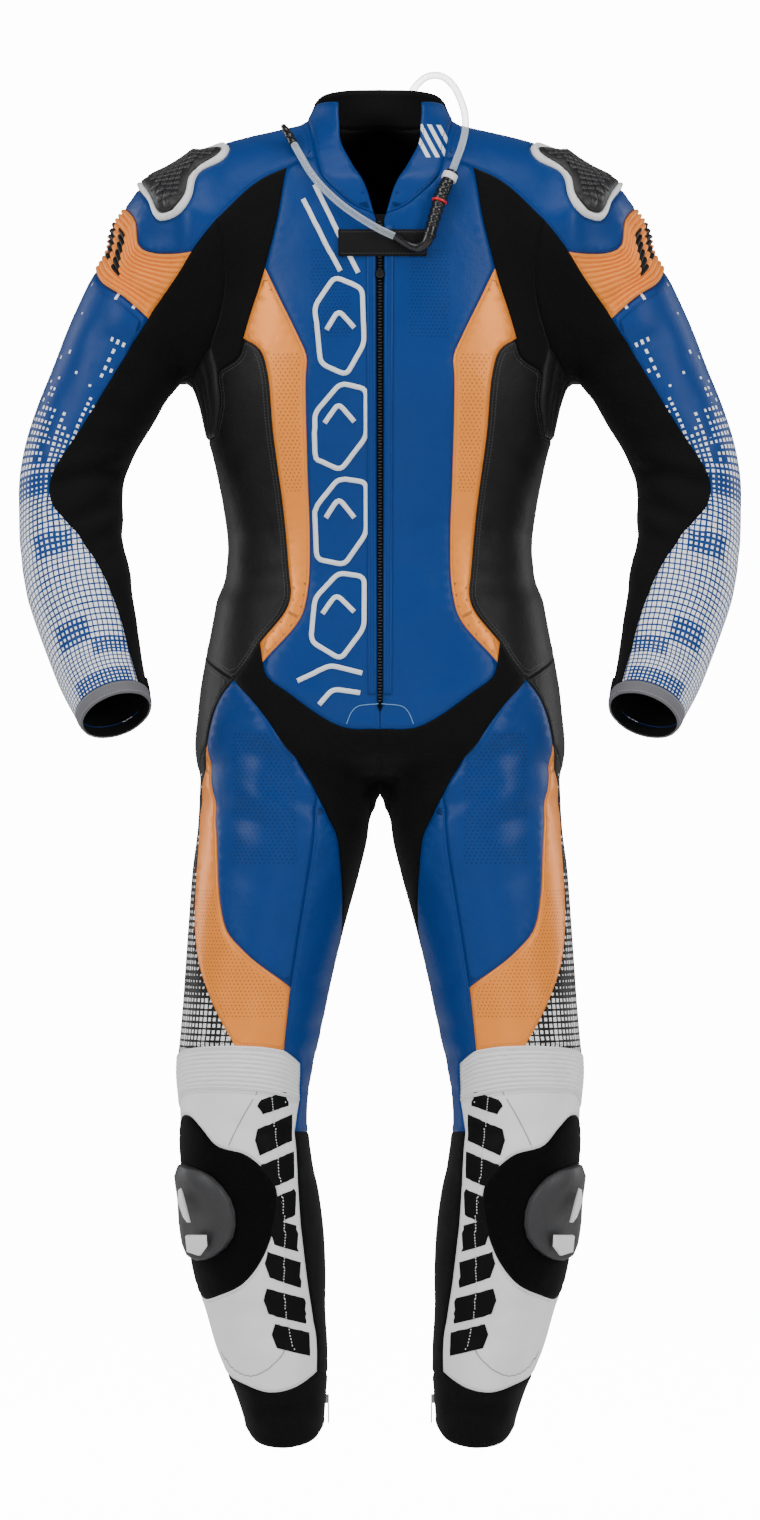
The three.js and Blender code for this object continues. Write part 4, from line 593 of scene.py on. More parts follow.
SEAMS = {
  "collarFoot": ["zipTop", [["front", 26, -65], ["front", 44, -50], ["front", 58, -36]], "neckFront"],
  "neckRise": ["neckFront", [["near", 69, 8, -34]], "neckSide"],
  "neckRear": ["neckSide", [["near", 66, 28, 26]], "neckBack"],
  "collarEnd": ["neckSide", [], "collarOuter"],
  "collarTop": ["collarOuter", [["near", 58, 47, -26]], "collarInner"],
  "collarFree": ["collarInner", [
    ["near", 44, 27, -55], ["near", 40, 4, -62], ["front", 29, -20], ["front", 15, -44]], "zipTop"],
  "capFrontNeck": ["neckFront", [], "chestTop"],
  "capFrontChest": ["chestTop", [["front", 119, -35], ["front", 141, -53]], "capFront"],
  "capFrontArm": ["capFront", [["front", 184, -99]], "elbowTopFront"],
  "capFoot": ["elbowTopFront", [
    ["front", 212, -112], ["front", 234, -110], ["front", 246, -103], ["sleeve", -35, 0.05],
    ["sleeve", 0, 0.045], ["sleeve", 35, 0.05], ["back", 246, -103], ["back", 234, -110],
    ["back", 212, -112]], "elbowTopBack"],
  "capBackArm": ["elbowTopBack", [["back", 184, -99]], "capBack"],
  "capBackNeck": ["capBack", [["back", 141, -53], ["back", 105, -30], ["back", 76, -6]], "neckBack"],
  "chestIn": ["chestTop", [["front", 104, -77]], "stripeTop"],
  "stripeIn": ["stripeTop", [
    ["front", 82, -200], ["front", 74, -219], ["front", 75, -240], ["front", 73, -337],
    ["front", 74, -462], ["front", 82, -486]], "stripeBottomIn"],
  "belly": ["stripeBottomIn", [
    ["front", 115, -543], ["front", 92, -561], ["front", 60, -584], ["front", 34, -596]], "bellyCentre"],
  "centreFront": ["bellyCentre", [], "zipBottom"],
  "zipEdge": ["zipBottom", [["front", ZIP_HALF, -400], ["front", ZIP_HALF, -220]], "zipTop"],
  "stripeShoulder": ["stripeTop", [], "stripeOuter"],
  "stripeOut": ["stripeOuter", [
    ["front", 122, -211], ["front", 114, -237], ["front", 107, -302], ["front", 92, -437],
    ["front", 91, -462], ["front", 96, -477]], "stripeBottomOut"],
  "stripeFoot": ["stripeBottomOut", [], "stripeBottomIn"],
  "stretchFoot": ["stripeOuter", [["front", 144, -217]], "ribsFront"],
  "ribsUpper": ["ribsFront", [], "armholeFront"],
  "ribsLower": ["ribsFront", [["front", 163, -262]], "ribsFoot"],
  "ribsBase": ["ribsFoot", [], "sideTop"],
  "ribsBack": ["sideTop", [["torso", 113, -250]], "armholeBack"],
  "underarm": ["armholeFront", [["near", 198, -238, -30], ["near", 204, -246, 0], ["near", 198, -238, 30]],
    "armholeBack"],
  "armholeRiseFront": ["armholeFront", [["front", 162, -171], ["front", 158, -135], ["front", 161, -103]],
    "capFront"],
  "armholeRiseBack": ["capBack", [["back", 161, -103], ["back", 158, -135], ["back", 162, -171]],
    "armholeBack"],
  "sideSeam": ["sideTop", [["torso", 101, -400]], "beltSide"],
  "beltFront": ["beltSide", [], "hipFront"],
  "hipStretch": ["hipFront", [["front", 134, -529]], "stripeBottomOut"],
  "beltRear": ["beltSide", [["torso", 130, -500], ["back", 70, -505]], "beltBack"],
  "ribsEdgeFront": ["elbowTopFront", [], "ribsEndFront"],
  "ribsEdgeBack": ["elbowTopBack", [], "ribsEndBack"],
  "armRibsFoot": ["ribsEndFront", [
    ["front", 263, -154], ["sleeve", -40, 0.145], ["sleeve", 0, 0.135], ["sleeve", 40, 0.145],
    ["back", 263, -154]], "ribsEndBack"],
  "sleeveFront": ["ribsEndFront", [
    ["front", 274, -237], ["front", 304, -286], ["front", 331, -328], ["front", 338, -346],
    ["front", 334, -368], ["front", 311, -395], ["front", 289, -425], ["front", 276, -455],
    ["front", 262, -490]], "cuffFront"],
  "sleeveBack": ["ribsEndBack", [
    ["sleeve", 118, 0.3], ["sleeve", 135, 0.5], ["sleeve", 135, 0.7]], "cuffBack"],
  "cuffOuter": ["cuffFront", [["sleeve", -100, CUFF_SHARE], ["sleeve", -50, CUFF_SHARE],
    ["sleeve", 0, CUFF_SHARE], ["sleeve", 60, CUFF_SHARE]], "cuffBack"],
  "cuffInner": ["cuffBack", [["sleeve", 165, CUFF_SHARE]], "cuffFront"],
  "hipThigh": ["hipFront", [["front", 167, -574]], "stripeTip"],
  "groinThigh": ["hipFront", [["front", 122, -577], ["front", 84, -628]], "thighTop"],
  "groinInner": ["thighTop", [["front", 49, -696], ["front", 41, -742], ["front", 39, -780],
    ["front", 43, -824], ["front", 52, -870]], "groinFoot"],
  "thighSeam": ["thighTop", [["front", 72, -736], ["front", 82, -798]], "thighFoot"],
  "thighSeamLow": ["thighFoot", [], "kneeMiddle"],
  "stripeThigh": ["stripeTip", [["front", 172, -639], ["front", 166, -707], ["front", 163, -775],
    ["front", 155, -802], ["front", 137, -824]], "thighFoot"],
  "stripeKnee": ["kneeMiddle", [["front", 122, -920]], "kneeOut"],
  "stripeSide": ["kneeOut", [["front", 172, -871], ["front", 186, -828], ["front", 190, -791],
    ["front", 187, -735], ["front", 183, -666]], "stripeTip"],
  "kneeTopOut": ["kneeOut", [["front", 179, -921], ["leg", 75, -927]], "kneeSideTop"],
  "kneeTopIn": ["kneeIn", [], "kneeMiddle"],
  "kneeEndOut": ["kneeSideTop", [], "kneeSideFoot"],
  "kneeEndIn": ["kneeIn", [], "kneeInFoot"],
  "kneeFoot": ["kneeInFoot", [["front", 126, -966], ["front", 170, -964], ["leg", 65, -970]],
    "kneeSideFoot"],
  "blueShin": ["kneeInFoot", [], "blueFoot"],
  "blueFootEdge": ["blueFoot", [["leg", -84, -1010]], "blueFootBack"],
  "blueBack": ["blueFootBack", [["leg", -98, -975]], "groinFoot"],
  "groinBack": ["groinFoot", [["leg", -108, -880], ["leg", -122, -790]], "seatInner"],
  "seatGroin": ["seatInner", [["near", 30, -690, 50]], "seatCentre"],
  "crotch": ["seatCentre", [["near", 0, -664, 0], ["near", 0, -640, -50], ["front", 0, -624]],
    "bellyCentre"],
  "centreBack": ["beltBack", [["back", 0, -580]], "seatCentre"],
  "seatFoot": ["seatInner", [["leg", 180, -700], ["leg", 130, -670]], "stripeTip"],
  "shinIn": ["blueFoot", [["front", 83, -1083], ["front", 75, -1159], ["front", 67, -1218]], "shinFoot"],
  "shinBottom": ["shinFoot", [["front", 90, -1273], ["front", 113, -1277], ["front", 138, -1270]],
    "shinFootSide"],
  "shinOut": ["kneeSideFoot", [["leg", 118, -1100], ["leg", 118, -1190]], "shinFootSide"],
  "calfTop": ["blueFootBack", [["leg", -150, -1003], ["leg", 170, -996]], "kneeSideFoot"],
  "calfBottom": ["shinFootSide", [["leg", 160, -1258], ["leg", 205, -1262], ["leg", 250, -1262]],
    "shinFoot"],
}
LOOPS = {
  "slider": [["front", 178, -2], ["front", 158, 2], ["front", 154, -4], ["front", 160, -14],
    ["front", 181, -25], ["front", 188, -34], ["front", 192, -54], ["front", 197, -66],
    ["front", 205, -73], ["front", 224, -78], ["front", 230, -73], ["front", 235, -58],
    ["near", 244, -43, 0], ["back", 232, -50], ["back", 218, -50], ["back", 200, -30], ["near", 184, 0, 22]],
  "patch": [["front", 194, -992], ["front", 182, -1004], ["front", 166, -1021], ["front", 135, -1031],
    ["front", 107, -1062], ["front", 107, -1094], ["front", 119, -1134], ["front", 138, -1162],
    ["front", 162, -1176], ["leg", 84, -1180], ["leg", 97, -1152], ["leg", 101, -1090],
    ["leg", 97, -1032], ["leg", 84, -998]],
  "puck": [["front", 168, -1052], ["front", 147, -1082], ["front", 147, -1112], ["front", 166, -1135],
    ["leg", 76, -1134], ["leg", 92, -1096], ["leg", 84, -1044]],
  "hump": [["back", 0, 6], ["back", 44, -4], ["back", 74, -44], ["back", 86, -110], ["back", 80, -190],
    ["back", 52, -246], ["back", 0, -266]],
  "hem": [["leg", 0, -1335], ["leg", 45, -1331], ["leg", 90, -1318], ["leg", 135, -1314],
    ["leg", 180, -1314], ["leg", 225, -1312], ["leg", 270, -1312], ["leg", 315, -1328]],
}


def spec_of(item):
    return tuple(item)


wanted = {spec_of(v) for v in JOINTS.values()}
wanted |= {spec_of(v) for _, through, _ in SEAMS.values() for v in through}
wanted |= {spec_of(v) for line in LOOPS.values() for v in line}
wanted = sorted(wanted, key=str)
POINT = dict(zip(wanted, place_all(wanted)))
joint = {name: POINT[spec_of(v)] for name, v in JOINTS.items()}
FINE = 6.0
raw_seam = {}
for name, (start, through, end) in SEAMS.items():
    line = curve_points(np.array([joint[start], *(POINT[spec_of(v)] for v in through), joint[end]]), False)
    raw_seam[name] = spaced(line, max(2, round(line_length(line) / FINE)))
raw_loop = {}
for name, line in LOOPS.items():
    closed = name != "hump"
    points = curve_points(np.array([POINT[spec_of(v)] for v in line]), closed)
    raw_loop[name] = spaced(points, round(line_length(points) / FINE))
everything = np.vstack(list(raw_seam.values()) + list(raw_loop.values()))
everything = snap(everything)
seam, loop, used = {}, {}, 0
for source, target in ((raw_seam, seam), (raw_loop, loop)):
    for name, line in source.items():
        target[name] = everything[used:used + len(line)]
        used += len(line)
for name, (start, _, end) in SEAMS.items():
    seam[name][0], seam[name][-1] = joint[start], joint[end]
for name in ("crotch", "centreBack", "centreFront"):
    seam[name][:, 0] = 0
loop = {name: (line if name == "hump" else line[:-1]) for name, line in loop.items()}
print(len(seam), "seams,", len(everything), "points")


def along_seam(name):
    return seam[name[1:]][::-1] if name.startswith("-") else seam[name]


def chain(names):
    """Seams end to end."""
    return np.vstack([along_seam(n) if i == 0 else along_seam(n)[1:] for i, n in enumerate(names)])


def ring(names):
    """Seams round a panel, closed."""
    return np.vstack([along_seam(n)[:-1] for n in names])


def mirror(points):
    return points * np.array([-1, 1, 1])


# %% [markdown]
# ## Charts
# A chart lays a region of the surface flat, in about true millimetres. There it's divided into triangles.

# %% Charts
CAPSULE_TOP = -95
SHOULDER_CENTRE = np.array([150.0, 0, -95])
SHOULDER_POLE = unit(np.array([0.5, 0, 0.87]))
SHOULDER_REAR = np.array([0.0, 1, 0])
SHOULDER_SIDE = np.cross(SHOULDER_REAR, SHOULDER_POLE)
CHART_AXIS = sleeve_axis(np.vstack([[172, 2, -22, 60, 60], ARM[2:]]))
CHART_STEP = 12


def wrapped(degrees, middle):
    return middle + np.mod(degrees - middle + 180, 360) - 180


def angle_of(x, y):
    return np.degrees(np.arctan2(x, -y))


def torso_chart(middle):
    def flat(p):
        reach = np.hypot(p[:, 0], p[:, 1])
        lift = np.where(p[:, 2] > CAPSULE_TOP, np.arctan2(p[:, 2] - CAPSULE_TOP, reach), 0)
        v = np.where(p[:, 2] > CAPSULE_TOP, CAPSULE_TOP + lift * 110, p[:, 2])
        return np.stack([wrapped(angle_of(p[:, 0], p[:, 1]), middle) * 2.4, v], axis=1)

    def raise_(q):
        lift = np.maximum(0, (q[:, 1] - CAPSULE_TOP) / 110)
        level = turned(q[:, 0] / 2.4) * np.cos(lift)[:, None]
        level[:, 2] = np.sin(lift)
        start = np.stack([0 * lift, 0 * lift, np.minimum(q[:, 1], CAPSULE_TOP)], axis=1)
        return shoot(start, level)
    return flat, raise_


def neck_chart(middle):
    def flat(p):
        return np.stack([wrapped(angle_of(p[:, 0], p[:, 1]), middle) * 1.4, p[:, 2]], axis=1)

    def raise_(q):
        return shoot(np.stack([0 * q[:, 1], 0 * q[:, 1], q[:, 1]], axis=1), turned(q[:, 0] / 1.4))
    return flat, raise_


def leg_chart(middle):
    def flat(p):
        c = leg_centre(p[:, 2])
        return np.stack([wrapped(angle_of(p[:, 0] - c[:, 0], p[:, 1] - c[:, 1]), middle) * 1.4, p[:, 2]],
                        axis=1)

    def raise_(q):
        start = leg_centre(q[:, 1])
        direction = turned(q[:, 0] / 1.4)
        hit = shoot(start, direction)
        past = np.flatnonzero((hit[:, 0] < 3) & (direction[:, 0] < -0.05))
        for k in past:
            reach = (1 - start[k, 0]) / direction[k, 0]
            steps = np.linspace(reach * 0.4, reach, 80)
            beyond = outside(start[k] + direction[k] * steps[:, None]) > 0
            first = steps[beyond.argmax()] if beyond.any() else reach
            hit[k] = start[k] + direction[k] * first
        return hit
    return flat, raise_


def sleeve_chart(middle):
    def flat(p):
        at = nearest_on_axis(CHART_AXIS, p)
        s = section_at(CHART_AXIS, at)
        d = p - s["centre"]
        degrees = np.degrees(np.arctan2((d * s["back"]).sum(1), (d * s["outward"]).sum(1)))
        return np.stack([wrapped(degrees, middle), at * CHART_STEP], axis=1)

    def raise_(q):
        s = section_at(CHART_AXIS, q[:, 1] / CHART_STEP)
        a = np.radians(q[:, 0])[:, None]
        return shoot(s["centre"], s["outward"] * np.cos(a) + s["back"] * np.sin(a))
    return flat, raise_


def shoulder_chart(_):
    def flat(p):
        d = unit(p - SHOULDER_CENTRE)
        turn = np.arccos(np.clip(d @ SHOULDER_POLE, -1, 1))
        u, v = d @ SHOULDER_SIDE, d @ SHOULDER_REAR
        size = np.maximum(np.hypot(u, v), 1e-9)
        return np.stack([u / size * turn * 90, v / size * turn * 90], axis=1)

    def raise_(q):
        turn = np.hypot(q[:, 0], q[:, 1]) / 90
        size = np.maximum(np.hypot(q[:, 0], q[:, 1]), 1e-9)
        d = (SHOULDER_POLE * np.cos(turn)[:, None]
             + SHOULDER_SIDE * (np.sin(turn) * q[:, 0] / size)[:, None]
             + SHOULDER_REAR * (np.sin(turn) * q[:, 1] / size)[:, None])
        return shoot(np.tile(SHOULDER_CENTRE, (len(q), 1)), d)
    return flat, raise_


CHARTS = {"torso": torso_chart, "neck": neck_chart, "leg": leg_chart, "sleeve": sleeve_chart,
          "shoulder": shoulder_chart}


# %% [markdown]
# ## From a ring of seams to triangles
# A maker cuts a panel flat and sews it round the body. Here the ring of its seams is laid flat, filled
# with even triangles and put back on the surface, so that folds bend it smoothly.

# %% Flat regions and their triangles
def inside_loop(p, line):
    a, b = line, np.roll(line, -1, axis=0)
    cross = (a[None, :, 1] > p[:, None, 1]) != (b[None, :, 1] > p[:, None, 1])
    with np.errstate(divide="ignore", invalid="ignore"):
        at = (b[None, :, 0] - a[None, :, 0]) * (p[:, None, 1] - a[None, :, 1]) / (
            b[None, :, 1] - a[None, :, 1]) + a[None, :, 0]
    return (cross & (p[:, None, 0] < at)).sum(1) % 2 == 1


def to_loop(p, line, closed=True):
    """Distance of flat points from a line, and how far along it they are."""
    a = line if closed else line[:-1]
    b = np.roll(line, -1, axis=0) if closed else line[1:]
    step = b - a
    size = np.maximum((step**2).sum(1), 1e-9)
    start = np.concatenate([[0], np.cumsum(np.sqrt(size))[:-1]])
    best, where = np.full(len(p), 1e9), np.zeros(len(p))
    for i in range(0, len(p), 4000):
        q = p[i:i + 4000, None, :]
        t = np.clip(((q - a) * step).sum(2) / size, 0, 1)
        d = np.sqrt(((q - a - t[..., None] * step) ** 2).sum(2))
        k = d.argmin(1)
        row = np.arange(len(k))
        best[i:i + 4000] = d[row, k]
        where[i:i + 4000] = start[k] + t[row, k] * np.sqrt(size[k])
    return best, where


ROWS_BY_SEAM = (2.2, 5.0)


def flat_points(rings, step):
    """Rows of points beside each edge, and an even field of points inside."""
    rows = []
    for k, line in enumerate(rings):
        before, after = np.roll(line, 1, axis=0), np.roll(line, -1, axis=0)
        way = unit(line - before) + unit(after - line)
        side = unit(np.stack([-way[:, 1], way[:, 0]], axis=1))
        area = (line[:, 0] * after[:, 1] - after[:, 0] * line[:, 1]).sum()
        side *= (1 if area > 0 else -1) * (1 if k == 0 else -1)
        for n, offset in enumerate(ROWS_BY_SEAM):
            rows.append((line[::1 if n == 0 else 2] + side[::1 if n == 0 else 2] * offset, offset))
    low, high = rings[0].min(0), rings[0].max(0)
    rise = step * 0.866
    field = [np.stack([np.arange(low[0] + (step / 2 if j % 2 else step / 4), high[0], step),
                       np.full(len(np.arange(low[0] + (step / 2 if j % 2 else step / 4), high[0], step)), v)],
                      axis=1) for j, v in enumerate(np.arange(low[1] + rise / 2, high[1], rise))]
    rows.append((np.vstack(field), ROWS_BY_SEAM[-1] + step * 0.5))
    kept = []
    for points, clear in rows:
        ok = inside_loop(points, rings[0])
        for hole in rings[1:]:
            ok &= ~inside_loop(points, hole)
        points = points[ok]
        far = np.min([to_loop(points, r)[0] for r in rings], axis=0)
        kept.append(points[far > clear * 0.93])
    return np.vstack(kept)


def region(chart, outline, holes=(), step=7.0):
    """The surface inside a ring of points, as points, normals, triangles and flat coordinates."""
    flat, raise_ = chart
    rings3 = [outline, *holes]
    rings = [flat(r) for r in rings3]
    inner = flat_points(rings, step)
    every = np.vstack([*rings, inner])
    edges, base = [], 0
    for r in rings:
        edges += [(base + i, base + (i + 1) % len(r)) for i in range(len(r))]
        base += len(r)
    out = delaunay_2d_cdt([Vector(v) for v in every], edges, [], 0, 1e-5)
    coords = np.array([tuple(v) for v in out[0]])
    source = np.array([min(o) if o else -1 for o in out[3]])
    tris = np.array([f for f in out[2] if len(f) == 3])
    middle = coords[tris].mean(1)
    keep = inside_loop(middle, rings[0])
    for r in rings[1:]:
        keep &= ~inside_loop(middle, r)
    tris = tris[keep]
    points = np.zeros((len(coords), 3))
    exact = (source >= 0) & (source < base)
    points[exact] = np.vstack(rings3)[source[exact]]
    points[~exact] = raise_(coords[~exact])
    edge, along = np.min([to_loop(coords, r)[0] for r in rings], axis=0), to_loop(coords, rings[0])[1]
    edge[exact] = 0
    return {"points": points, "normals": normal_at(points), "tris": tris, "flat": coords,
            "edge": edge, "along": along}


def ruled(top, bottom, rows, columns, sides=None, closed=False):
    """A region ruled between two lines, with its ends on side seams."""
    down, share = np.linspace(0, 1, rows + 1), np.linspace(0, 1, columns + 1)
    if closed:
        top, bottom = np.vstack([top, top[:1]]), np.vstack([bottom, bottom[:1]])
    top, bottom = spaced(top, columns), spaced(bottom, columns)
    v, u = down[:, None, None], share[None, :, None]
    grid = top[None] * (1 - v) + bottom[None] * v
    if sides is not None:
        left, right = (spaced(s, rows)[:, None, :] for s in sides)
        chord = (top[0] * (1 - u) + top[-1] * u) * (1 - v) + (bottom[0] * (1 - u) + bottom[-1] * u) * v
        grid = grid + left * (1 - u) + right * u - chord
    shape = grid.shape
    flat = np.stack(np.broadcast_arrays(share[None, :] * line_length(top), down[:, None]
                                        * np.linalg.norm(top.mean(0) - bottom.mean(0))), axis=2)
    points = snap(grid.reshape(-1, 3)).reshape(shape)
    points[0], points[-1] = top, bottom
    if closed:
        points, flat = points[:, :-1], flat[:, :-1]
    wide = points.shape[1]
    cols = wide if closed else wide - 1
    tris = []
    for r in range(rows):
        for c in range(cols):
            a, b = r * wide + c, r * wide + (c + 1) % wide
            tris += [(a, a + wide, b), (b, a + wide, b + wide)]
    points = points.reshape(-1, 3)
    flat = flat.reshape(-1, 2)
    height = flat[:, 1]
    edge = np.minimum(height, height.max() - height)
    if not closed:
        edge = np.minimum(edge, np.minimum(flat[:, 0], flat[:, 0].max() - flat[:, 0]))
    return {"points": points, "normals": normal_at(points), "tris": np.array(tris), "flat": flat,
            "edge": edge, "along": flat[:, 0], "down": np.repeat(down, wide),
            "share": np.tile(share[:wide], rows + 1)}


# %% [markdown]
# ## Creases
# Soft troughs and ridges that the photograph shows, by the places of their ends seen from the front or
# the back. They are uneven along their length.

# %% Creases
CREASES = np.array([  # out1, up1, out2, up2, side, depth (below zero for a ridge), width
    [20, -585, 70, -560, -1, -1.2, 9], [30, -612, 95, -590, -1, 1.6, 8], [18, -640, 80, -610, -1, 1.8, 9],
    [12, -665, 60, -650, -1, 2.0, 8], [50, -622, 120, -600, -1, -1.4, 10], [58, -668, 110, -640, -1, 1.8, 8],
    [90, -640, 160, -612, -1, 1.6, 8], [120, -590, 170, -570, -1, 1.4, 9],
    [100, -612, 165, -590, -1, -1.5, 9],
    [62, -700, 105, -690, -1, 1.4, 9], [110, -668, 178, -650, -1, -1.4, 10],
    [75, -735, 150, -700, -1, -1.2, 14],
    [100, -760, 165, -735, -1, 1.0, 12], [45, -760, 70, -800, -1, 1.0, 8], [48, -720, 66, -745, -1, 1.2, 8],
    [130, -300, 160, -330, -1, 1.4, 10], [110, -345, 160, -360, -1, 1.2, 10],
    [115, -395, 155, -400, -1, 1.4, 9],
    [100, -425, 156, -430, -1, -1.2, 10], [120, -465, 165, -450, -1, 1.2, 10],
    [20, -430, 70, -440, -1, 0.9, 12],
    [20, -395, 72, -385, -1, 0.8, 12], [22, -480, 75, -470, -1, -0.9, 14], [15, -300, 60, -270, -1, 0.7, 14],
    [240, -240, 290, -226, -1, 1.6, 8], [232, -200, 268, -178, -1, -1.6, 9],
    [250, -275, 318, -262, -1, 1.3, 9],
    [262, -300, 330, -308, -1, 1.8, 8], [266, -318, 335, -330, -1, -2.0, 8],
    [270, -372, 340, -388, -1, 2.0, 7],
    [262, -368, 300, -400, -1, -2.0, 8], [258, -412, 318, -438, -1, 1.8, 8],
    [262, -440, 325, -462, -1, -1.4, 9],
    [268, -470, 330, -486, -1, 1.2, 8], [255, -500, 310, -510, -1, 1.1, 8],
    [262, -528, 300, -538, -1, 1.2, 7],
    [300, -290, 345, -322, -1, 1.6, 9], [305, -340, 352, -352, -1, 1.6, 8],
    [318, -395, 362, -420, -1, 1.4, 8],
    [172, -120, 205, -150, -1, 1.4, 9], [185, -100, 215, -118, -1, 1.0, 9],
    [176, -190, 205, -225, -1, 1.8, 9],
    [120, -40, 150, -62, -1, 0.9, 10], [108, -62, 160, -96, -1, 1.0, 12], [70, -60, 100, -96, -1, 0.9, 12],
    [100, -880, 160, -850, -1, 0.9, 12], [96, -915, 150, -905, -1, 1.2, 8], [60, -900, 88, -905, -1, 1.4, 7],
    [62, -935, 84, -930, -1, 1.6, 7], [64, -965, 84, -962, -1, 1.4, 7], [66, -1000, 84, -1010, -1, 1.2, 7],
    [60, -860, 90, -840, -1, 1.0, 9], [66, -1050, 80, -1060, -1, 1.4, 8], [64, -1110, 78, -1105, -1, 1.4, 8],
    [70, -1205, 100, -1222, -1, 1.4, 8], [72, -1240, 120, -1236, -1, -1.2, 9],
    [100, -1215, 165, -1228, -1, 1.2, 8],
    [70, -1262, 100, -1270, -1, 1.4, 7], [68, -1300, 118, -1292, -1, 2.0, 7],
    [64, -1316, 110, -1320, -1, -1.4, 7],
    [72, -1330, 128, -1322, -1, 1.6, 7], [150, -1200, 170, -1170, -1, 1.0, 8],
    [20, -400, 130, -385, 1, 1.8, 10], [10, -450, 140, -438, 1, -2.0, 11], [10, -492, 130, -480, 1, 2.0, 10],
    [30, -620, 150, -640, 1, 1.6, 11], [40, -665, 160, -655, 1, -2.0, 11], [60, -720, 170, -712, 1, 2.0, 10],
    [70, -745, 165, -760, 1, 1.4, 10], [80, -955, 190, -950, 1, 2.0, 9], [90, -1000, 185, -1002, 1, -2.0, 9],
    [90, -1040, 180, -1034, 1, 1.8, 9], [95, -1085, 170, -1092, 1, 1.2, 9],
    [80, -1280, 120, -1290, 1, 1.6, 8],
    [70, -1310, 125, -1304, 1, 1.6, 8], [240, -200, 290, -212, 1, 1.4, 9], [262, -300, 340, -300, 1, 1.2, 10],
    [270, -380, 350, -372, 1, 0.9, 10], [110, -60, 165, -40, 1, 0.9, 12], [96, -250, 165, -280, 1, 1.2, 12],
    [100, -330, 160, -350, 1, 1.3, 12]], float)


def uneven(p, size):
    """A gentle repeatable variation between -1 and 1."""
    q = p / size
    return (np.sin(q[:, 0] * 2.1 + 1.3 * np.sin(q[:, 2] * 1.3)) + np.sin(q[:, 2] * 1.7 + 2 * np.sin(q[:, 1]))
            + np.sin(q[:, 1] * 2.3 + q[:, 0])) / 3


def crease_lift(p):
    """How far the cloth lies out of its plain form, in millimetres."""
    x = np.abs(p[:, 0])
    depth = troughs(CREASES, x, p[:, 1], p[:, 2])
    return -depth * (1 + 0.45 * uneven(p, 17)) + 0.35 * uneven(p, 26)


def cloth_lift(piece, puff=0.5, groove=0.9):
    """Creases, and the groove and soft swelling beside each seam."""
    edge = piece["edge"]
    fade = np.clip(edge / 12, 0, 1)
    return (crease_lift(piece["points"]) * (0.25 + 0.75 * fade) - groove * np.exp(-((edge / 1.3) ** 2))
            + puff * np.exp(-(((edge - 5) / 3.5) ** 2)))


# %% [markdown]
# ## Panels as thin walls
# A panel of leather with its backing is a thin wall that shows both faces at the neck and cuffs. So each
# is a shell with an outside, an inside and a rim. The size that it would be cut to is measured here too.

# %% Making the meshes
made_pieces = []


def mesh_object(name, points, tris, kinds, values, materials, slot, body="root"):
    """A mesh in metres that rides on a body, with its values per point."""
    mesh = bpy.data.meshes.new(name)
    mesh.from_pydata((points * MM).tolist(), [], tris.tolist())
    for material in materials:
        mesh.materials.append(material)
    mesh.polygons.foreach_set("material_index", np.asarray(kinds, np.int32))
    mesh.polygons.foreach_set("use_smooth", np.ones(len(tris), bool))
    for key, value in values.items():
        kind = "FLOAT" if value.ndim == 1 else "FLOAT_VECTOR"
        layer = mesh.attributes.new(key, kind, "POINT")
        layer.data.foreach_set("value" if value.ndim == 1 else "vector",
                               np.ascontiguousarray(value, np.float32).ravel())
    mesh.update()
    made = bpy.data.objects.new(name, mesh)
    bpy.context.collection.objects.link(made)
    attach(made, body)
    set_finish(made, slot)
    made_pieces.append(made)
    return made


def shell(name, piece, lift, materials, slot, thickness=1.8, mirrored=False, floor=None):
    """A closed thin wall: the region moved out by lift, the same moved in, and a rim round the edges."""
    p, n, tris = piece["points"], piece["normals"], piece["tris"]
    face = np.cross(p[tris[:, 1]] - p[tris[:, 0]], p[tris[:, 2]] - p[tris[:, 0]])
    if (face * n[tris[:, 0]]).sum() < 0:
        tris = tris[:, ::-1]
    pairs = {}
    for a, b, c in tris.tolist():
        for e in ((a, b), (b, c), (c, a)):
            if (e[1], e[0]) in pairs:
                del pairs[(e[1], e[0])]
            else:
                pairs[e] = True
    count = len(p)
    outer = p + n * np.asarray(lift)[:, None]
    under = np.minimum(lift, 0) - thickness if floor is None else floor * np.ones(count)
    inner = p + n * under[:, None]
    rim = np.array([t for a, b in pairs for t in ((b, a, a + count), (b, a + count, b + count))])
    faces = np.vstack([tris, tris[:, ::-1] + count, rim])
    kinds = np.concatenate([np.zeros(len(tris)), np.ones(len(tris)), np.zeros(len(rim))])
    points = np.vstack([outer, inner])
    if mirrored:
        points, faces = mirror(points), faces[:, ::-1]
    flat3 = np.column_stack([piece["flat"], 0 * piece["edge"]])
    values = {"edge": np.tile(piece["edge"], 2), "along": np.tile(piece["along"], 2),
              "chart": np.vstack([flat3, flat3])}
    for key in ("down", "share"):
        if key in piece:
            values[key] = np.tile(piece[key], 2)
    made = mesh_object(name, points, faces, kinds, values, materials, slot)
    made["area_m2"] = float(np.linalg.norm(np.cross(
        outer[tris[:, 1]] - outer[tris[:, 0]], outer[tris[:, 2]] - outer[tris[:, 0]]), axis=1).sum() / 2e6)
    return made


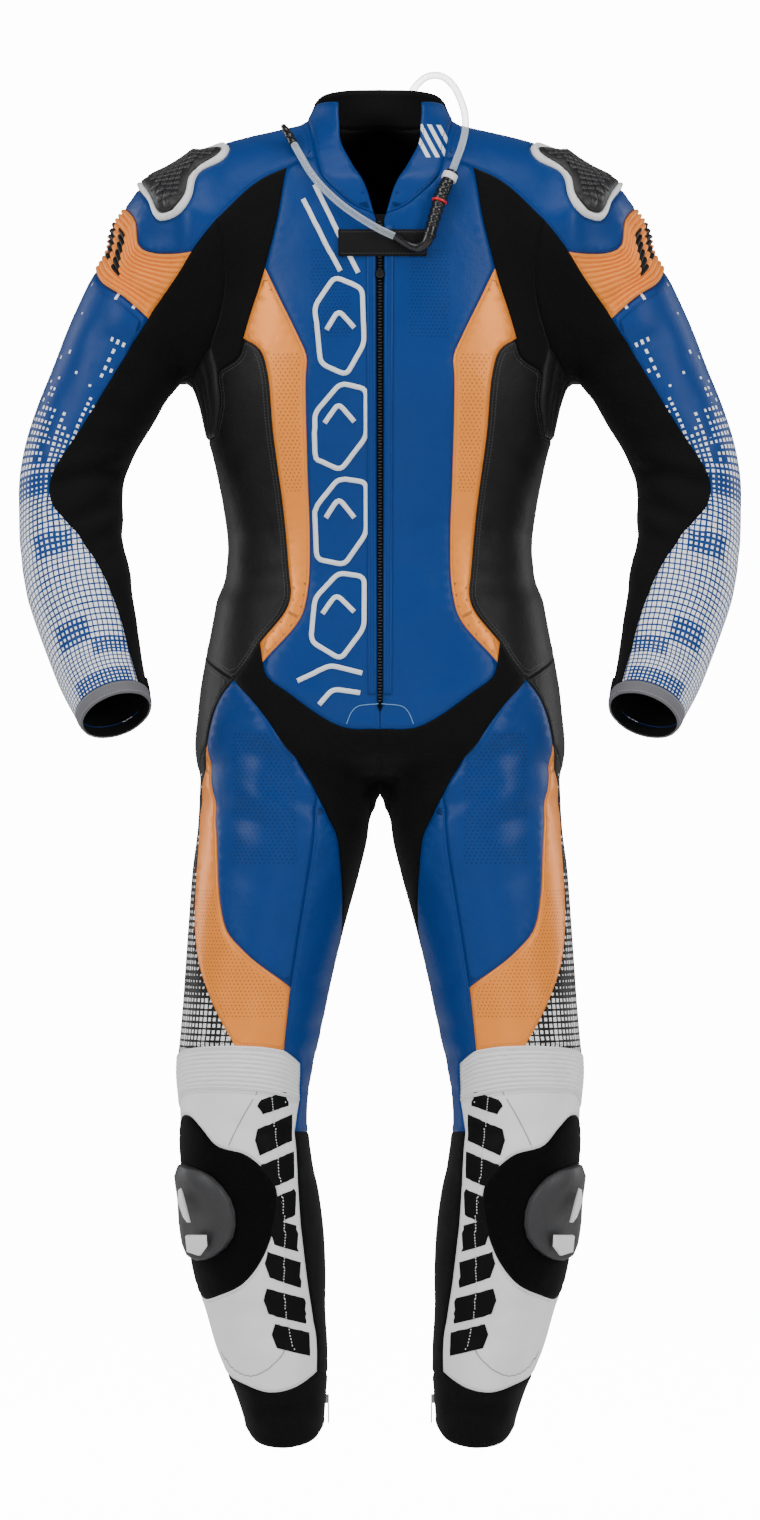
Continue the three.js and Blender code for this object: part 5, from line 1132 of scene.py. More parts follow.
def flat_size(piece, area):
    """Width and length of the smallest rectangle that the flat cut comes out of, and how far it was grown.

    The chart foreshortens a piece that bends both ways. The rectangle is then grown until it holds the area
    measured on the surface.
    """
    best = None
    for degrees in range(0, 90, 5):
        a = math.radians(degrees)
        turned_flat = piece["flat"] @ np.array([[math.cos(a), -math.sin(a)], [math.sin(a), math.cos(a)]])
        size = (turned_flat.max(0) - turned_flat.min(0)) * MM
        if best is None or size.prod() < best.prod():
            best = size
    grown = max(1.0, math.sqrt(area * 1.02 / best.prod()))
    return float(best[0] * grown), float(best[1] * grown), grown


def let_out_size(piece, lift):
    """Width, and length along the surface with the ribs pulled flat, of a ribbed piece. Nothing is grown."""
    wide = np.count_nonzero(piece["down"] == piece["down"][0])
    base = piece["points"].reshape(-1, wide, 3)
    outer = (piece["points"] + piece["normals"] * lift[:, None]).reshape(-1, wide, 3)
    width = np.linalg.norm(np.diff(base, axis=1), axis=2).sum(axis=1).max() * MM
    length = np.linalg.norm(np.diff(outer, axis=0), axis=2).sum(axis=0).max() * MM
    return float(width), float(length), 1.0


CUTS = {}
SHEETS = {}
ON_SHEET = {}


def cloth(name, piece, lift, materials, slot, nodes, pair=True, cut=None, **options):
    """The shells of a panel and its mirror image. Each stands for its CAD node, and its cut size is kept."""
    made = []
    for side in (("left", "right") if pair else (None,)):
        label = f"{name}_{side}" if side else name
        stuff = materials(side) if callable(materials) else materials
        obj = shell(f"cloth_{label}", piece, lift, stuff, slot, mirrored=side == "right", **options)
        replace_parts(obj, label)
        area = obj["area_m2"]
        width, length, grown = cut or flat_size(piece, area)
        CUTS[label] = (round(width, 4), round(length, 4), round(area, 4), round(grown, 2))
        SHEETS[label] = obj
        made.append(obj)
    return made


# %% [markdown]
# ## Leather, stretch cloth and print
# The panels are grained leather or woven stretch cloth. A photograph of leather could be wrapped on, but a
# pattern worked out from nodes stays sharp. One function gives each its grain, topstitching and print.

# %% Cloth materials
def attribute(tree, name, output="Fac"):
    return add_node(tree, "ShaderNodeAttribute", attribute_name=name).outputs[output]


def object_place(tree):
    return add_node(tree, "ShaderNodeTexCoord").outputs["Object"]


def stitches(tree, at, half=0.42, pitch=3.2):
    """1 on a row of stitches at a distance from the seam."""
    edge, along = attribute(tree, "edge"), attribute(tree, "along")
    near = calc(tree, "LESS_THAN", calc(tree, "ABSOLUTE", calc(tree, "SUBTRACT", edge, at)), half)
    on = calc(tree, "LESS_THAN", calc(tree, "FRACT", calc(tree, "DIVIDE", along, pitch)), 0.7)
    return calc(tree, "MULTIPLY", near, on)


def in_band(tree, value, low, high):
    return calc(tree, "MULTIPLY", calc(tree, "GREATER_THAN", value, low),
                calc(tree, "LESS_THAN", value, high))


def holes(tree, region_mask, pitch=4.2, radius=0.75):
    """1 in the small punched holes, in staggered rows."""
    at = add_node(tree, "ShaderNodeSeparateXYZ", {0: attribute(tree, "chart", "Vector")})
    row = calc(tree, "DIVIDE", at.outputs[1], pitch * 0.866)
    shift = calc(tree, "MULTIPLY", calc(tree, "FLOORED_MODULO", calc(tree, "FLOOR", row), 2.0), 0.5)
    column = calc(tree, "ADD", calc(tree, "DIVIDE", at.outputs[0], pitch), shift)
    u = calc(tree, "SUBTRACT", calc(tree, "FRACT", column), 0.5)
    v = calc(tree, "MULTIPLY", calc(tree, "SUBTRACT", calc(tree, "FRACT", row), 0.5), 0.866)
    away = calc(tree, "SQRT", calc(tree, "ADD", calc(tree, "MULTIPLY", u, u), calc(tree, "MULTIPLY", v, v)))
    return calc(tree, "MULTIPLY", calc(tree, "LESS_THAN", away, radius / pitch), region_mask)


def cloth_material(name, code, roughness=0.45, grain=0.25, grain_mm=1.6, rows=(2.6,), thread=None,
                   sheen=0.0, specular=0.22, metallic=0.0, coat=0.0, paint=None, punched=None, weave=False):
    """Leather or cloth of a colour, with topstitching at the given distances from its seams."""
    made = bpy.data.materials.new(name)
    made.use_nodes = True
    tree = made.node_tree
    shader = tree.nodes["Principled BSDF"]
    shader.inputs["Metallic"].default_value = metallic
    shader.inputs["Specular IOR Level"].default_value = specular
    shader.inputs["Sheen Weight"].default_value = sheen
    shader.inputs["Sheen Roughness"].default_value = 0.5
    shader.inputs["Coat Weight"].default_value = coat
    shader.inputs["Coat Roughness"].default_value = 0.3
    at = object_place(tree)
    mottle = add_node(tree, "ShaderNodeTexNoise", {"Vector": at, "Scale": 24.0, "Detail": 3.0}).outputs["Fac"]
    base = colour(code)
    dark = tuple(c * 0.86 for c in base[:3]) + (1.0,)
    shade = mix(tree, mottle, dark, base)
    if paint:
        shade = paint(tree, shade)
    height = add_node(tree, "ShaderNodeTexVoronoi", {"Vector": at, "Scale": 1 / (grain_mm * MM)},
                      feature="SMOOTH_F1").outputs["Distance"]
    if weave:
        noise = add_node(tree, "ShaderNodeTexNoise", {"Vector": at, "Scale": 900.0, "Detail": 2.0})
        height = noise.outputs["Fac"]
    bump = add_node(tree, "ShaderNodeBump", {"Height": height, "Strength": grain, "Distance": 0.0004})
    wrinkle = add_node(tree, "ShaderNodeTexNoise", {"Vector": at, "Scale": 55.0, "Detail": 4.0,
                                                    "Roughness": 0.6}).outputs["Fac"]
    bump = add_node(tree, "ShaderNodeBump", {"Height": wrinkle, "Strength": 0.35, "Distance": 0.0016,
                                             "Normal": bump.outputs[0]})
    marks = None
    for row in rows:
        line = stitches(tree, row)
        marks = line if marks is None else calc(tree, "MAXIMUM", marks, line)
    if marks is not None:
        bump = add_node(tree, "ShaderNodeBump", {"Height": marks, "Strength": 0.8, "Distance": 0.0006,
                                                 "Normal": bump.outputs[0]})
        shade = mix(tree, calc(tree, "MULTIPLY", marks, 0.85), shade, colour(thread or code))
    if punched:
        dots = holes(tree, punched(tree))
        shade = mix(tree, calc(tree, "MULTIPLY", dots, 0.6), shade, colour("#0a0a0a"))
    tree.links.new(shade, shader.inputs["Base Color"])
    rough = calc(tree, "ADD", calc(tree, "MULTIPLY", mottle, 0.12), roughness - 0.06)
    tree.links.new(rough, shader.inputs["Roughness"])
    tree.links.new(bump.outputs[0], shader.inputs["Normal"])
    return made


def height_band(low, high, inner=None, outer=None):
    """A mask between two heights in mm, and between two distances from the centre line."""
    def mask(tree):
        at = add_node(tree, "ShaderNodeSeparateXYZ", {0: object_place(tree)})
        value = in_band(tree, at.outputs[2], low * MM, high * MM)
        if inner is not None:
            out = calc(tree, "ABSOLUTE", at.outputs[0])
            value = calc(tree, "MULTIPLY", value, in_band(tree, out, inner * MM, outer * MM))
        edge = calc(tree, "GREATER_THAN", attribute(tree, "edge"), 5.5)
        return calc(tree, "MULTIPLY", value, edge)
    return mask


def square_print(ink, pitch, start, full, low=0.0, high=0.8, jitter=0.35, across=0.0, blocks=0.25):
    """Squares that grow and close up along the chart's height, with a few missing and some darker blocks."""
    def paint(tree, ground):
        at = add_node(tree, "ShaderNodeSeparateXYZ", {0: attribute(tree, "chart", "Vector")})
        u, v = calc(tree, "DIVIDE", at.outputs[0], pitch), calc(tree, "DIVIDE", at.outputs[1], pitch)
        cell = add_node(tree, "ShaderNodeCombineXYZ", {0: calc(tree, "FLOOR", u), 1: calc(tree, "FLOOR", v)})
        chance = add_node(tree, "ShaderNodeTexWhiteNoise", {"Vector": cell.outputs[0]}).outputs["Value"]
        column = add_node(tree, "ShaderNodeCombineXYZ", {0: calc(tree, "FLOOR", u), 1: 7.0})
        by_column = add_node(tree, "ShaderNodeTexWhiteNoise", {"Vector": column.outputs[0]}).outputs["Value"]
        big = add_node(tree, "ShaderNodeCombineXYZ", {0: calc(tree, "FLOOR", calc(tree, "DIVIDE", u, 7.0)),
                                                      1: calc(tree, "FLOOR", calc(tree, "DIVIDE", v, 4.0))})
        block = add_node(tree, "ShaderNodeTexWhiteNoise", {"Vector": big.outputs[0]}).outputs["Value"]
        way = calc(tree, "ADD", at.outputs[1], calc(tree, "MULTIPLY", at.outputs[0], across))
        grow = add_node(tree, "ShaderNodeMapRange", {0: way, 1: start, 2: full, 3: 0.0, 4: 1.0}).outputs[0]
        grow = calc(tree, "ADD", grow, calc(tree, "MULTIPLY", calc(tree, "SUBTRACT", by_column, 0.5), jitter))
        grow = calc(tree, "MAXIMUM", calc(tree, "MINIMUM", grow, 1.0), 0.0)
        size = calc(tree, "ADD", calc(tree, "MULTIPLY", grow, high - low), low)
        dim = calc(tree, "MULTIPLY", calc(tree, "GREATER_THAN", block, 1 - blocks), 0.22)
        size = calc(tree, "MULTIPLY", calc(tree, "SUBTRACT", size, dim),
                    calc(tree, "LESS_THAN", chance,
                         calc(tree, "ADD", calc(tree, "MULTIPLY", grow, 2.6), 0.03)))
        half = calc(tree, "MULTIPLY", size, 0.5)
        inside = [calc(tree, "LESS_THAN", calc(tree, "ABSOLUTE", calc(tree, "SUBTRACT",
                  calc(tree, "FRACT", w), 0.5)), half) for w in (u, v)]
        return mix(tree, calc(tree, "MULTIPLY", *inside), ground, colour(ink))
    return paint


def slashes(ink, low, high, first, last, count, slant, across="share", down="down"):
    """Slanted bars on an accordion, by shares of its width and depth."""
    def paint(tree, ground):
        share, depth = attribute(tree, across), attribute(tree, down)
        place = calc(tree, "ADD", share, calc(tree, "MULTIPLY", depth, slant))
        turn = calc(tree, "MULTIPLY", calc(tree, "SUBTRACT", place, first), count / (last - first))
        bar = calc(tree, "LESS_THAN", calc(tree, "FRACT", turn), 0.58)
        mask = calc(tree, "MULTIPLY", in_band(tree, place, first, last), in_band(tree, depth, low, high))
        return mix(tree, calc(tree, "MULTIPLY", mask, bar), ground, colour(ink))
    return paint


def leaf_bars(ink, low, high, first, last, count, slant):
    """Slanted bars on the wearer's left leaf of the collar, by millimetres across and up."""
    def paint(tree, ground):
        at = add_node(tree, "ShaderNodeSeparateXYZ", {0: object_place(tree)})
        place = calc(tree, "ADD", at.outputs[0], calc(tree, "MULTIPLY", at.outputs[2], slant))
        turn = calc(tree, "MULTIPLY", calc(tree, "SUBTRACT", place, first * MM),
                    count / ((last - first) * MM))
        bar = calc(tree, "LESS_THAN", calc(tree, "FRACT", turn), 0.5)
        mask = calc(tree, "MULTIPLY", in_band(tree, place, first * MM, last * MM),
                    in_band(tree, at.outputs[2], low * MM, high * MM))
        mask = calc(tree, "MULTIPLY", mask, calc(tree, "GREATER_THAN", at.outputs[0], 0.0))
        return mix(tree, calc(tree, "MULTIPLY", mask, bar), ground, colour(ink))
    return paint


BLUE, ORANGE, WHITE, BLACK = "#00377a", "#ff9434", "#f8f8f8", "#0b0b0c"
lining = cloth_material("mesh_lining", "#101012", 0.9, 0.3, rows=(), weave=True)
blue = cloth_material("blue_leather", BLUE, 0.42, thread="#002a66")
blue_punched = cloth_material("blue_leather_punched", BLUE, 0.42, thread="#002a66",
                              punched=height_band(-735, -600, 85, 150))
chest_blue = cloth_material("blue_leather_chest", BLUE, 0.42, thread="#002a66",
                            punched=height_band(-200, -110, 30, 70))
orange = cloth_material("orange_leather", ORANGE, 0.34, thread="#c97f42", metallic=0.15,
                        punched=height_band(-355, -215))
thigh_orange = cloth_material("orange_leather_thigh", ORANGE, 0.34, thread="#c97f42", metallic=0.15,
                              punched=height_band(-890, -760))
rib_orange = cloth_material("orange_accordion", ORANGE, 0.4, metallic=0.12, rows=(2.2,), thread="#c97f42",
                             paint=slashes("#0c0c0d", 0.26, 0.72, 0.4, 0.76, 3, 0.25))
collar_blue = cloth_material("blue_leather_collar", BLUE, 0.42, thread="#002a66",
                             paint=leaf_bars("#e9edf3", -14, 22, 40, 78, 4, 0.5))
white = cloth_material("white_leather", WHITE, 0.5, thread="#c9c9c9")
rib_white = cloth_material("white_accordion", WHITE, 0.5, rows=(2.2,), thread="#c0c0c0")
black = cloth_material("black_leather", BLACK, 0.5, thread="#39393b", rows=(2.6, 5.6))
rib_black = cloth_material("black_accordion", "#151516", 0.5, rows=())
stretch = cloth_material("black_stretch", "#030304", 0.85, 0.5, rows=(), sheen=0.03, specular=0.15,
                         weave=True)
loop_cloth = cloth_material("black_loop", "#040405", 0.95, 0.6, rows=(), sheen=0.03, specular=0.1, weave=True)
binding = cloth_material("gray_binding", "#6c6c70", 0.8, 0.4, rows=(2.0,), thread="#8a8a8e", weave=True)
sleeve_print = cloth_material("printed_sleeve", BLUE, 0.45, thread="#002a66",
                              paint=square_print("#f2f4f8", 6.6, 90, 290, low=0.4, high=0.74, across=0.25))
thigh_print = cloth_material("printed_thigh", "#0a0a0b", 0.5, thread="#303032",
                             paint=square_print("#efefef", 6.4, -600, -980, low=0.2, high=0.74))
print("cloth materials", len(bpy.data.materials))

# %% [markdown]
# ## Panels
# A suit is sewn from flat pieces that meet at their seams. Each could be cut out of one mesh of the body,
# but its own region between its seams gives clean edges and lets it be taken as one piece.

# %% Panels between seams
PANELS = {
    # name: chart, middle, seams, material, slot
    "front_panel": ("torso", 30, ["collarFoot", "capFrontNeck", "chestIn", "stripeIn", "belly",
                                  "centreFront", "zipEdge"], chest_blue, "blue_leather"),
    "chest_stripe": ("torso", 45, ["stripeShoulder", "stripeOut", "stripeFoot", "-stripeIn"], orange,
                     "orange_leather"),
    "chest_stretch": ("torso", 50, ["capFrontChest", "-armholeRiseFront", "-ribsUpper", "-stretchFoot",
                                    "-stripeShoulder", "-chestIn"], stretch, "black_stretch"),
    "side_leather": ("torso", 80, ["stretchFoot", "ribsLower", "ribsBase", "sideSeam", "beltFront",
                                   "hipStretch", "-stripeOut"], black, "black_leather"),
    "sleeve_outer": ("sleeve", 0, ["armRibsFoot", "sleeveBack", "-cuffOuter", "-sleeveFront"],
                     sleeve_print, "printed_leather"),
    "sleeve_inner": ("sleeve", 180, ["sleeveFront", "-cuffInner", "-sleeveBack", "-ribsEdgeBack",
                                     "capBackArm", "armholeRiseBack", "-underarm", "armholeRiseFront",
                                     "capFrontArm", "ribsEdgeFront"], stretch, "black_stretch"),
    "collar_leaf": ("neck", 40, ["collarFoot", "neckRise", "collarEnd", "collarTop", "collarFree"],
                    collar_blue, "blue_leather"),
    "seat": ("leg", 150, ["beltRear", "centreBack", "-seatGroin", "seatFoot", "-hipThigh", "-beltFront"],
             black, "black_leather"),
    "groin_stretch": ("leg", -50, ["crotch", "-belly", "-stripeFoot", "-hipStretch", "groinThigh",
                                   "groinInner", "groinBack", "seatGroin"], stretch, "black_stretch"),
    "thigh_front": ("leg", 0, ["groinThigh", "thighSeam", "-stripeThigh", "-hipThigh"], blue_punched,
                    "blue_leather"),
    "thigh_inner": ("leg", -60, ["thighSeam", "thighSeamLow", "-kneeTopIn", "kneeEndIn", "blueShin",
                                 "blueFootEdge", "blueBack", "-groinInner"], blue, "blue_leather"),
    "thigh_stripe": ("leg", 30, ["stripeThigh", "thighSeamLow", "stripeKnee", "stripeSide"],
                     thigh_orange, "orange_leather"),
    "thigh_outer": ("leg", 150, ["-stripeSide", "kneeTopOut", "kneeEndOut", "-calfTop", "blueBack",
                                 "groinBack", "seatFoot"], thigh_print, "printed_leather"),
    "calf": ("leg", 180, ["calfTop", "shinOut", "calfBottom", "-shinIn", "blueFootEdge"], stretch,
             "black_stretch"),
}
flap = seam["zipEdge"].copy()
down = (flap[:, 2] - ZIP_BOTTOM) / (ZIP_TOP - ZIP_BOTTOM)
half_gap = np.stack([2.6 + 1.6 * down, 0 * down, 0 * down], axis=1)
seam["zipEdge"] = snap(flap * np.array([0, 1, 1]) + half_gap)
for name, (chart, middle, seams, material, slot_name) in PANELS.items():
    piece = region(CHARTS[chart](middle), ring(seams))
    cloth(name, piece, cloth_lift(piece), [material, lining], slot_name, None)
print("panels", len(PANELS) * 2, "triangles", sum(len(o.data.polygons) for o in made_pieces))


# %% [markdown]
# ## Accordions
# The ribbed pieces let the arm, knee and side bend. Ribs could be a bump in the material, but they show in
# the outline of the suit, so they are part of the mesh.

# %% Accordions
def rib_profile(down, count, height):
    """Rounded ribs with narrow valleys."""
    return height * np.abs(np.sin(np.pi * down * count)) ** 0.7


def accordion(name, top, bottom, sides, count, height, columns, materials, slot_name, per_rib=8):
    piece = ruled(top, bottom, count * per_rib, columns, sides=sides)
    fade = np.clip(np.minimum(piece["share"], 1 - piece["share"]) * columns / 1.5, 0, 1)
    lift = rib_profile(piece["down"], count, height) * (0.15 + 0.85 * fade)
    lift = lift * (1 + 0.1 * uneven(piece["points"], 14)) + crease_lift(piece["points"]) * 0.5 - 0.5
    cloth(name, piece, lift, materials, slot_name, None, cut=let_out_size(piece, lift))


accordion("arm_ribs", chain(["capFoot"]), seam["armRibsFoot"], (seam["ribsEdgeFront"], seam["ribsEdgeBack"]),
          12, 2.8, 34, [rib_orange, lining], "orange_leather")
accordion("knee_ribs", chain(["kneeTopIn", "stripeKnee", "kneeTopOut"]), seam["kneeFoot"],
          (seam["kneeEndIn"], seam["kneeEndOut"]), 10, 2.6, 34, [rib_white, lining], "white_leather")
accordion("side_ribs", chain(["-ribsLower", "ribsUpper"]), chain(["ribsBack"]),
          (seam["ribsBase"], seam["underarm"]), 8, 2.6, 22, [rib_black, lining], "black_leather")

# %% [markdown]
# ## Shoulder, shin and knee
# The shoulder has an opening for its hard plate, and the shin has one for the loop panel under the puck.
# They are built with those openings, as they would be cut, so that neighbours meet and don't overlap.

# %% Shoulder cap, shin and knee patch
cap_ring = ring(["neckRise", "neckRear", "-capBackNeck", "-capBackArm", "-capFoot", "-capFrontArm",
                 "-capFrontChest", "-capFrontNeck"])
shoulder = CHARTS["shoulder"](0)
cap = region(shoulder, cap_ring, [loop["slider"]])
cloth("shoulder_cap", cap, cloth_lift(cap), [blue, lining], "blue_leather", None)

leg_front = CHARTS["leg"](30)
shin_ring = ring(["kneeFoot", "shinOut", "-shinBottom", "-shinIn", "-blueShin"])
shin = region(leg_front, shin_ring, [loop["patch"]])
cloth("shin", shin, cloth_lift(shin), [white, lining], "white_leather", None)
patch = region(leg_front, loop["patch"])
patch_lift = cloth_lift(patch) + 0.8 * np.clip((patch["edge"] - 1) / 3, 0, 1)
cloth("knee_patch", patch, patch_lift, [loop_cloth, lining], "black_loop", None)

# %% [markdown]
# ## Bands, collar, back and hump
# Cuffs and ankle bands are strips sewn once round an opening, so they are ruled between two lines. The
# back, hump, collar and zip cross the centre line. They are made whole and not mirrored.

# %% Cuffs, ankle bands, collar, back, hump and zip
CUFF_LENGTH = 14
last_along = SLEEVE["along"][-1]
cuff_top = ring(["cuffOuter", "cuffInner"])
cuff_mouth = snap(cuff_top + last_along * CUFF_LENGTH)
cuff = ruled(cuff_top, cuff_mouth, 6, 48, closed=True)
cuff_lift = 0.9 * np.sin(np.pi * np.clip(cuff["down"], 0, 1)) + 0.4
cloth("cuff", cuff, cuff_lift, [binding, lining], "gray_binding", None)

hem = ruled(ring(["shinBottom", "calfBottom"]), loop["hem"], 14, 60, closed=True)
cloth("ankle_hem", hem, cloth_lift(hem), [stretch, lining], "black_stretch", None)


def half_line(points):
    line = curve_points(np.array(points), False)
    line = snap(spaced(line, max(2, round(line_length(line) / FINE))))
    line[0], line[-1] = points[0], line[-1] * np.array([0, 1, 1])
    return line


def across_centre(half):
    return np.vstack([half, mirror(half)[::-1][1:]])


def near(out, up, y):
    return snap(np.array([[out, y, up]], float))[0]


neck_half = half_line([joint["neckBack"], near(28, 26, 66), near(0, 26, 72)])
collar_rim = across_centre(half_line([joint["collarOuter"], near(60, 58, 22), near(40, 66, 52),
                                      near(0, 68, 64)]))
collar_foot = across_centre(np.vstack([seam["neckRear"], neck_half[1:]]))
collar_side = seam["collarEnd"][::-1]
collar = ruled(collar_rim, collar_foot, 7, 50, sides=(collar_side, mirror(collar_side)))
cloth("collar_back", collar, cloth_lift(collar), [stretch, lining], "black_leather", None, pair=False)

hump_half = loop["hump"].copy()
hump_half[0, 0] = hump_half[-1, 0] = 0
hump_ring = np.vstack([hump_half, mirror(hump_half)[::-1][1:-1]])
back_half = np.vstack([neck_half[::-1], chain(["-capBackNeck", "armholeRiseBack", "-ribsBack", "sideSeam",
                                               "beltRear"])[1:]])
back_ring = np.vstack([back_half, mirror(back_half)[::-1][1:-1]])
back_chart = CHARTS["torso"](180)
back = region(back_chart, back_ring, [hump_ring])
cloth("back_panel", back, cloth_lift(back), [black, lining], "black_leather", None, pair=False)
hump = region(back_chart, hump_ring)
cloth("hump", hump, cloth_lift(hump), [blue, lining], "blue_leather", None, pair=False)

zip_side = flap[::-1]
zip_ring = np.vstack([zip_side, joint["bellyCentre"][None], mirror(zip_side)[::-1]])
zip_piece = region(CHARTS["torso"](0), zip_ring, step=3.0)
cloth("front_zip", zip_piece, cloth_lift(zip_piece, puff=0, groove=0) - 1.6, [stretch, lining],
      "zip_tape", None,
      pair=False)
print("cloth pieces", len(made_pieces), "triangles", sum(len(o.data.polygons) for o in made_pieces))

# %% [markdown]
# ## Print and appliqué
# The graphics are plain chevrons, hexagons and bars. Each is a thin layer that follows its panel.

# %% Layers on the panels
front_chart = (lambda p: p[:, [0, 2]], lambda q: seen(q[:, 0], q[:, 1], -1))


def layer(name, panel, piece, base, height, material, slot_name, mirrored=False):
    """A thin layer that lies on a panel, base mm out and height mm thick."""
    ground = crease_lift(piece["points"])
    made = shell(name, piece, ground + base + height, [material, material], slot_name,
                 mirrored=mirrored, floor=ground + base - 0.8)
    ON_SHEET.setdefault(panel, []).append(made)
    return made


def strip_piece(line, width, closed=False, across=2, dashed=False):
    """A band along a line of the surface, whole or in dashes."""
    line = snap(line)
    if closed:
        before, after = np.roll(line, 1, axis=0), np.roll(line, -1, axis=0)
    else:
        before, after = np.vstack([line[:1], line[:-1]]), np.vstack([line[1:], line[-1:]])
    side = unit(np.cross(unit(after - before), normal_at(line)))
    shares = np.linspace(-0.5, 0.5, across + 1)
    points = snap((line[:, None, :] + side[:, None, :] * (shares * width)[None, :, None]).reshape(-1, 3))
    n, wide, tris = len(line), across + 1, []
    for i in range(0, n if closed else n - 1, 2 if dashed else 1):
        for j in range(across):
            a, b = i * wide + j, ((i + 1) % n) * wide + j
            tris += [(a, b, a + 1), (a + 1, b, b + 1)]
    length = np.concatenate([[0], np.cumsum(np.linalg.norm(np.diff(line, axis=0), axis=1))])
    along = np.repeat(length, wide)
    offset = np.tile((shares + 0.5) * width, n)
    return {"points": points, "normals": normal_at(points), "tris": np.array(tris),
            "flat": np.stack([offset, along], axis=1), "edge": np.minimum(offset, width - offset),
            "along": along}


def front_line(points, closed=False, step=4.0, smooth=False):
    """A line drawn on the front, by its distances from the centre line and its heights."""
    points = np.array(points, float)
    if closed:
        points = np.vstack([points, points[:1]])
    if smooth:
        points = curve_points(points[:-1] if closed else points, closed)
    parts = []
    for a, b in zip(points[:-1], points[1:]):
        count = max(1, round(np.linalg.norm(b - a) / step))
        parts.append(a + (b - a) * (np.arange(count) / count)[:, None])
    flat = np.vstack(parts + ([] if closed else [points[-1:]]))
    return seen(flat[:, 0], flat[:, 1], -1)


def filled(points, step=4.0):
    """A filled outline drawn on the front."""
    return region(front_chart, front_line(points, True, step), step=6.0)


def rounded(points, closed=False, reach=7.0):
    """The corners of a drawn line turned into short curves."""
    points = np.array(points, float)
    made = [] if closed else [points[0]]
    for k in range(len(points)) if closed else range(1, len(points) - 1):
        a, b, c = points[k - 1], points[k], points[(k + 1) % len(points)]
        for end in (a, c):
            near_end = min(reach, np.linalg.norm(end - b) * 0.45)
            made.append(b + unit((end - b)[None])[0] * near_end)
        low, high = made.pop(-2), made.pop()
        made += [(1 - t) ** 2 * low + 2 * t * (1 - t) * b + t * t * high for t in np.linspace(0, 1, 5)]
    return made if closed else made + [points[-1]]


ink_white = cloth_material("white_print", "#e9edf3", 0.45, rows=())
ink_black = cloth_material("black_print", "#050506", 0.6, rows=(), specular=0.12)
thread_white = cloth_material("white_thread", "#f0f0f0", 0.6, rows=())
ink_gray = cloth_material("gray_seam", "#a9a9ab", 0.6, rows=())
thread_blue = cloth_material("blue_thread", "#6f9ccc", 0.6, rows=())
black_cloth = cloth_material("black_tab", "#0b0b0c", 0.8, 0.5, rows=(1.6,), thread="#2c2c2e", weave=True)
HEXAGONS = [
    [(18, -150), (46, -138), (66, -168), (60, -226), (34, -238), (16, -206)],
    [(14, -252), (40, -246), (66, -276), (66, -322), (40, -334), (14, -300)],
    [(14, -346), (42, -342), (66, -372), (64, -424), (36, -430), (14, -398)],
    [(16, -442), (42, -438), (66, -464), (70, -508), (40, -526), (16, -494)],
]
OPEN_LINES = [
    [(66, -44), (40, -98), (22, -134)], [(78, -58), (54, -106), (40, -132)],
    [(26, -190), (42, -172), (54, -192)], [(26, -285), (42, -266), (56, -286)],
    [(26, -382), (42, -362), (55, -382)], [(26, -478), (44, -460), (58, -480)],
    [(18, -540), (50, -532), (84, -548)], [(20, -560), (48, -556), (62, -572)],
]
graphics = []
for n, outline in enumerate(HEXAGONS):
    line = front_line(rounded(outline, True), True)
    graphics.append(layer(f"print_hexagon_{n}", "front_panel_right", strip_piece(line, 5.0, True), 0.55, 0.25,
                          ink_white, "blue_leather", mirrored=True))
for n, outline in enumerate(OPEN_LINES):
    line = front_line(rounded(outline))
    graphics.append(layer(f"print_chevron_{n}", "front_panel_right", strip_piece(line, 5.0), 0.55, 0.25,
                          ink_white, "blue_leather", mirrored=True))

BARS = [  # top, width, drop of the outer end, height of a bar, place of its inner edge
    (-966, 26, 8, 15, 96), (-990, 34, 14, 27, 91), (-1028, 32, 12, 27, 89), (-1066, 24, 10, 27, 88),
    (-1104, 24, -8, 27, 86), (-1142, 32, -12, 27, 83), (-1180, 38, -12, 27, 78), (-1216, 34, -10, 24, 74)]
for side in ("left", "right"):
    for n, (top, wide, drop, high, start) in enumerate(BARS):
        outline = [(start, top), (start + wide, top - drop), (start + wide + 3, top - drop - high * 0.45),
                   (start + wide - 2, top - drop - high), (start - 1, top - high)]
        graphics.append(layer(f"shin_bar_{n}_{side}", f"shin_{side}", filled(outline), 0.3, 0.3, ink_black,
                              "white_leather", mirrored=side == "right"))
STITCH = [(112, -970), (108, -1003), (105, -1040), (100, -1080), (98, -1118), (99, -1155),
          (97, -1195), (89, -1234)]
SEAM_LINES = {"egg": [(163, -1237), (150, -1254), (132, -1260), (112, -1250), (98, -1230), (104, -1206)],
              "knee_cut": [(125, -966), (140, -992), (154, -1022)]}
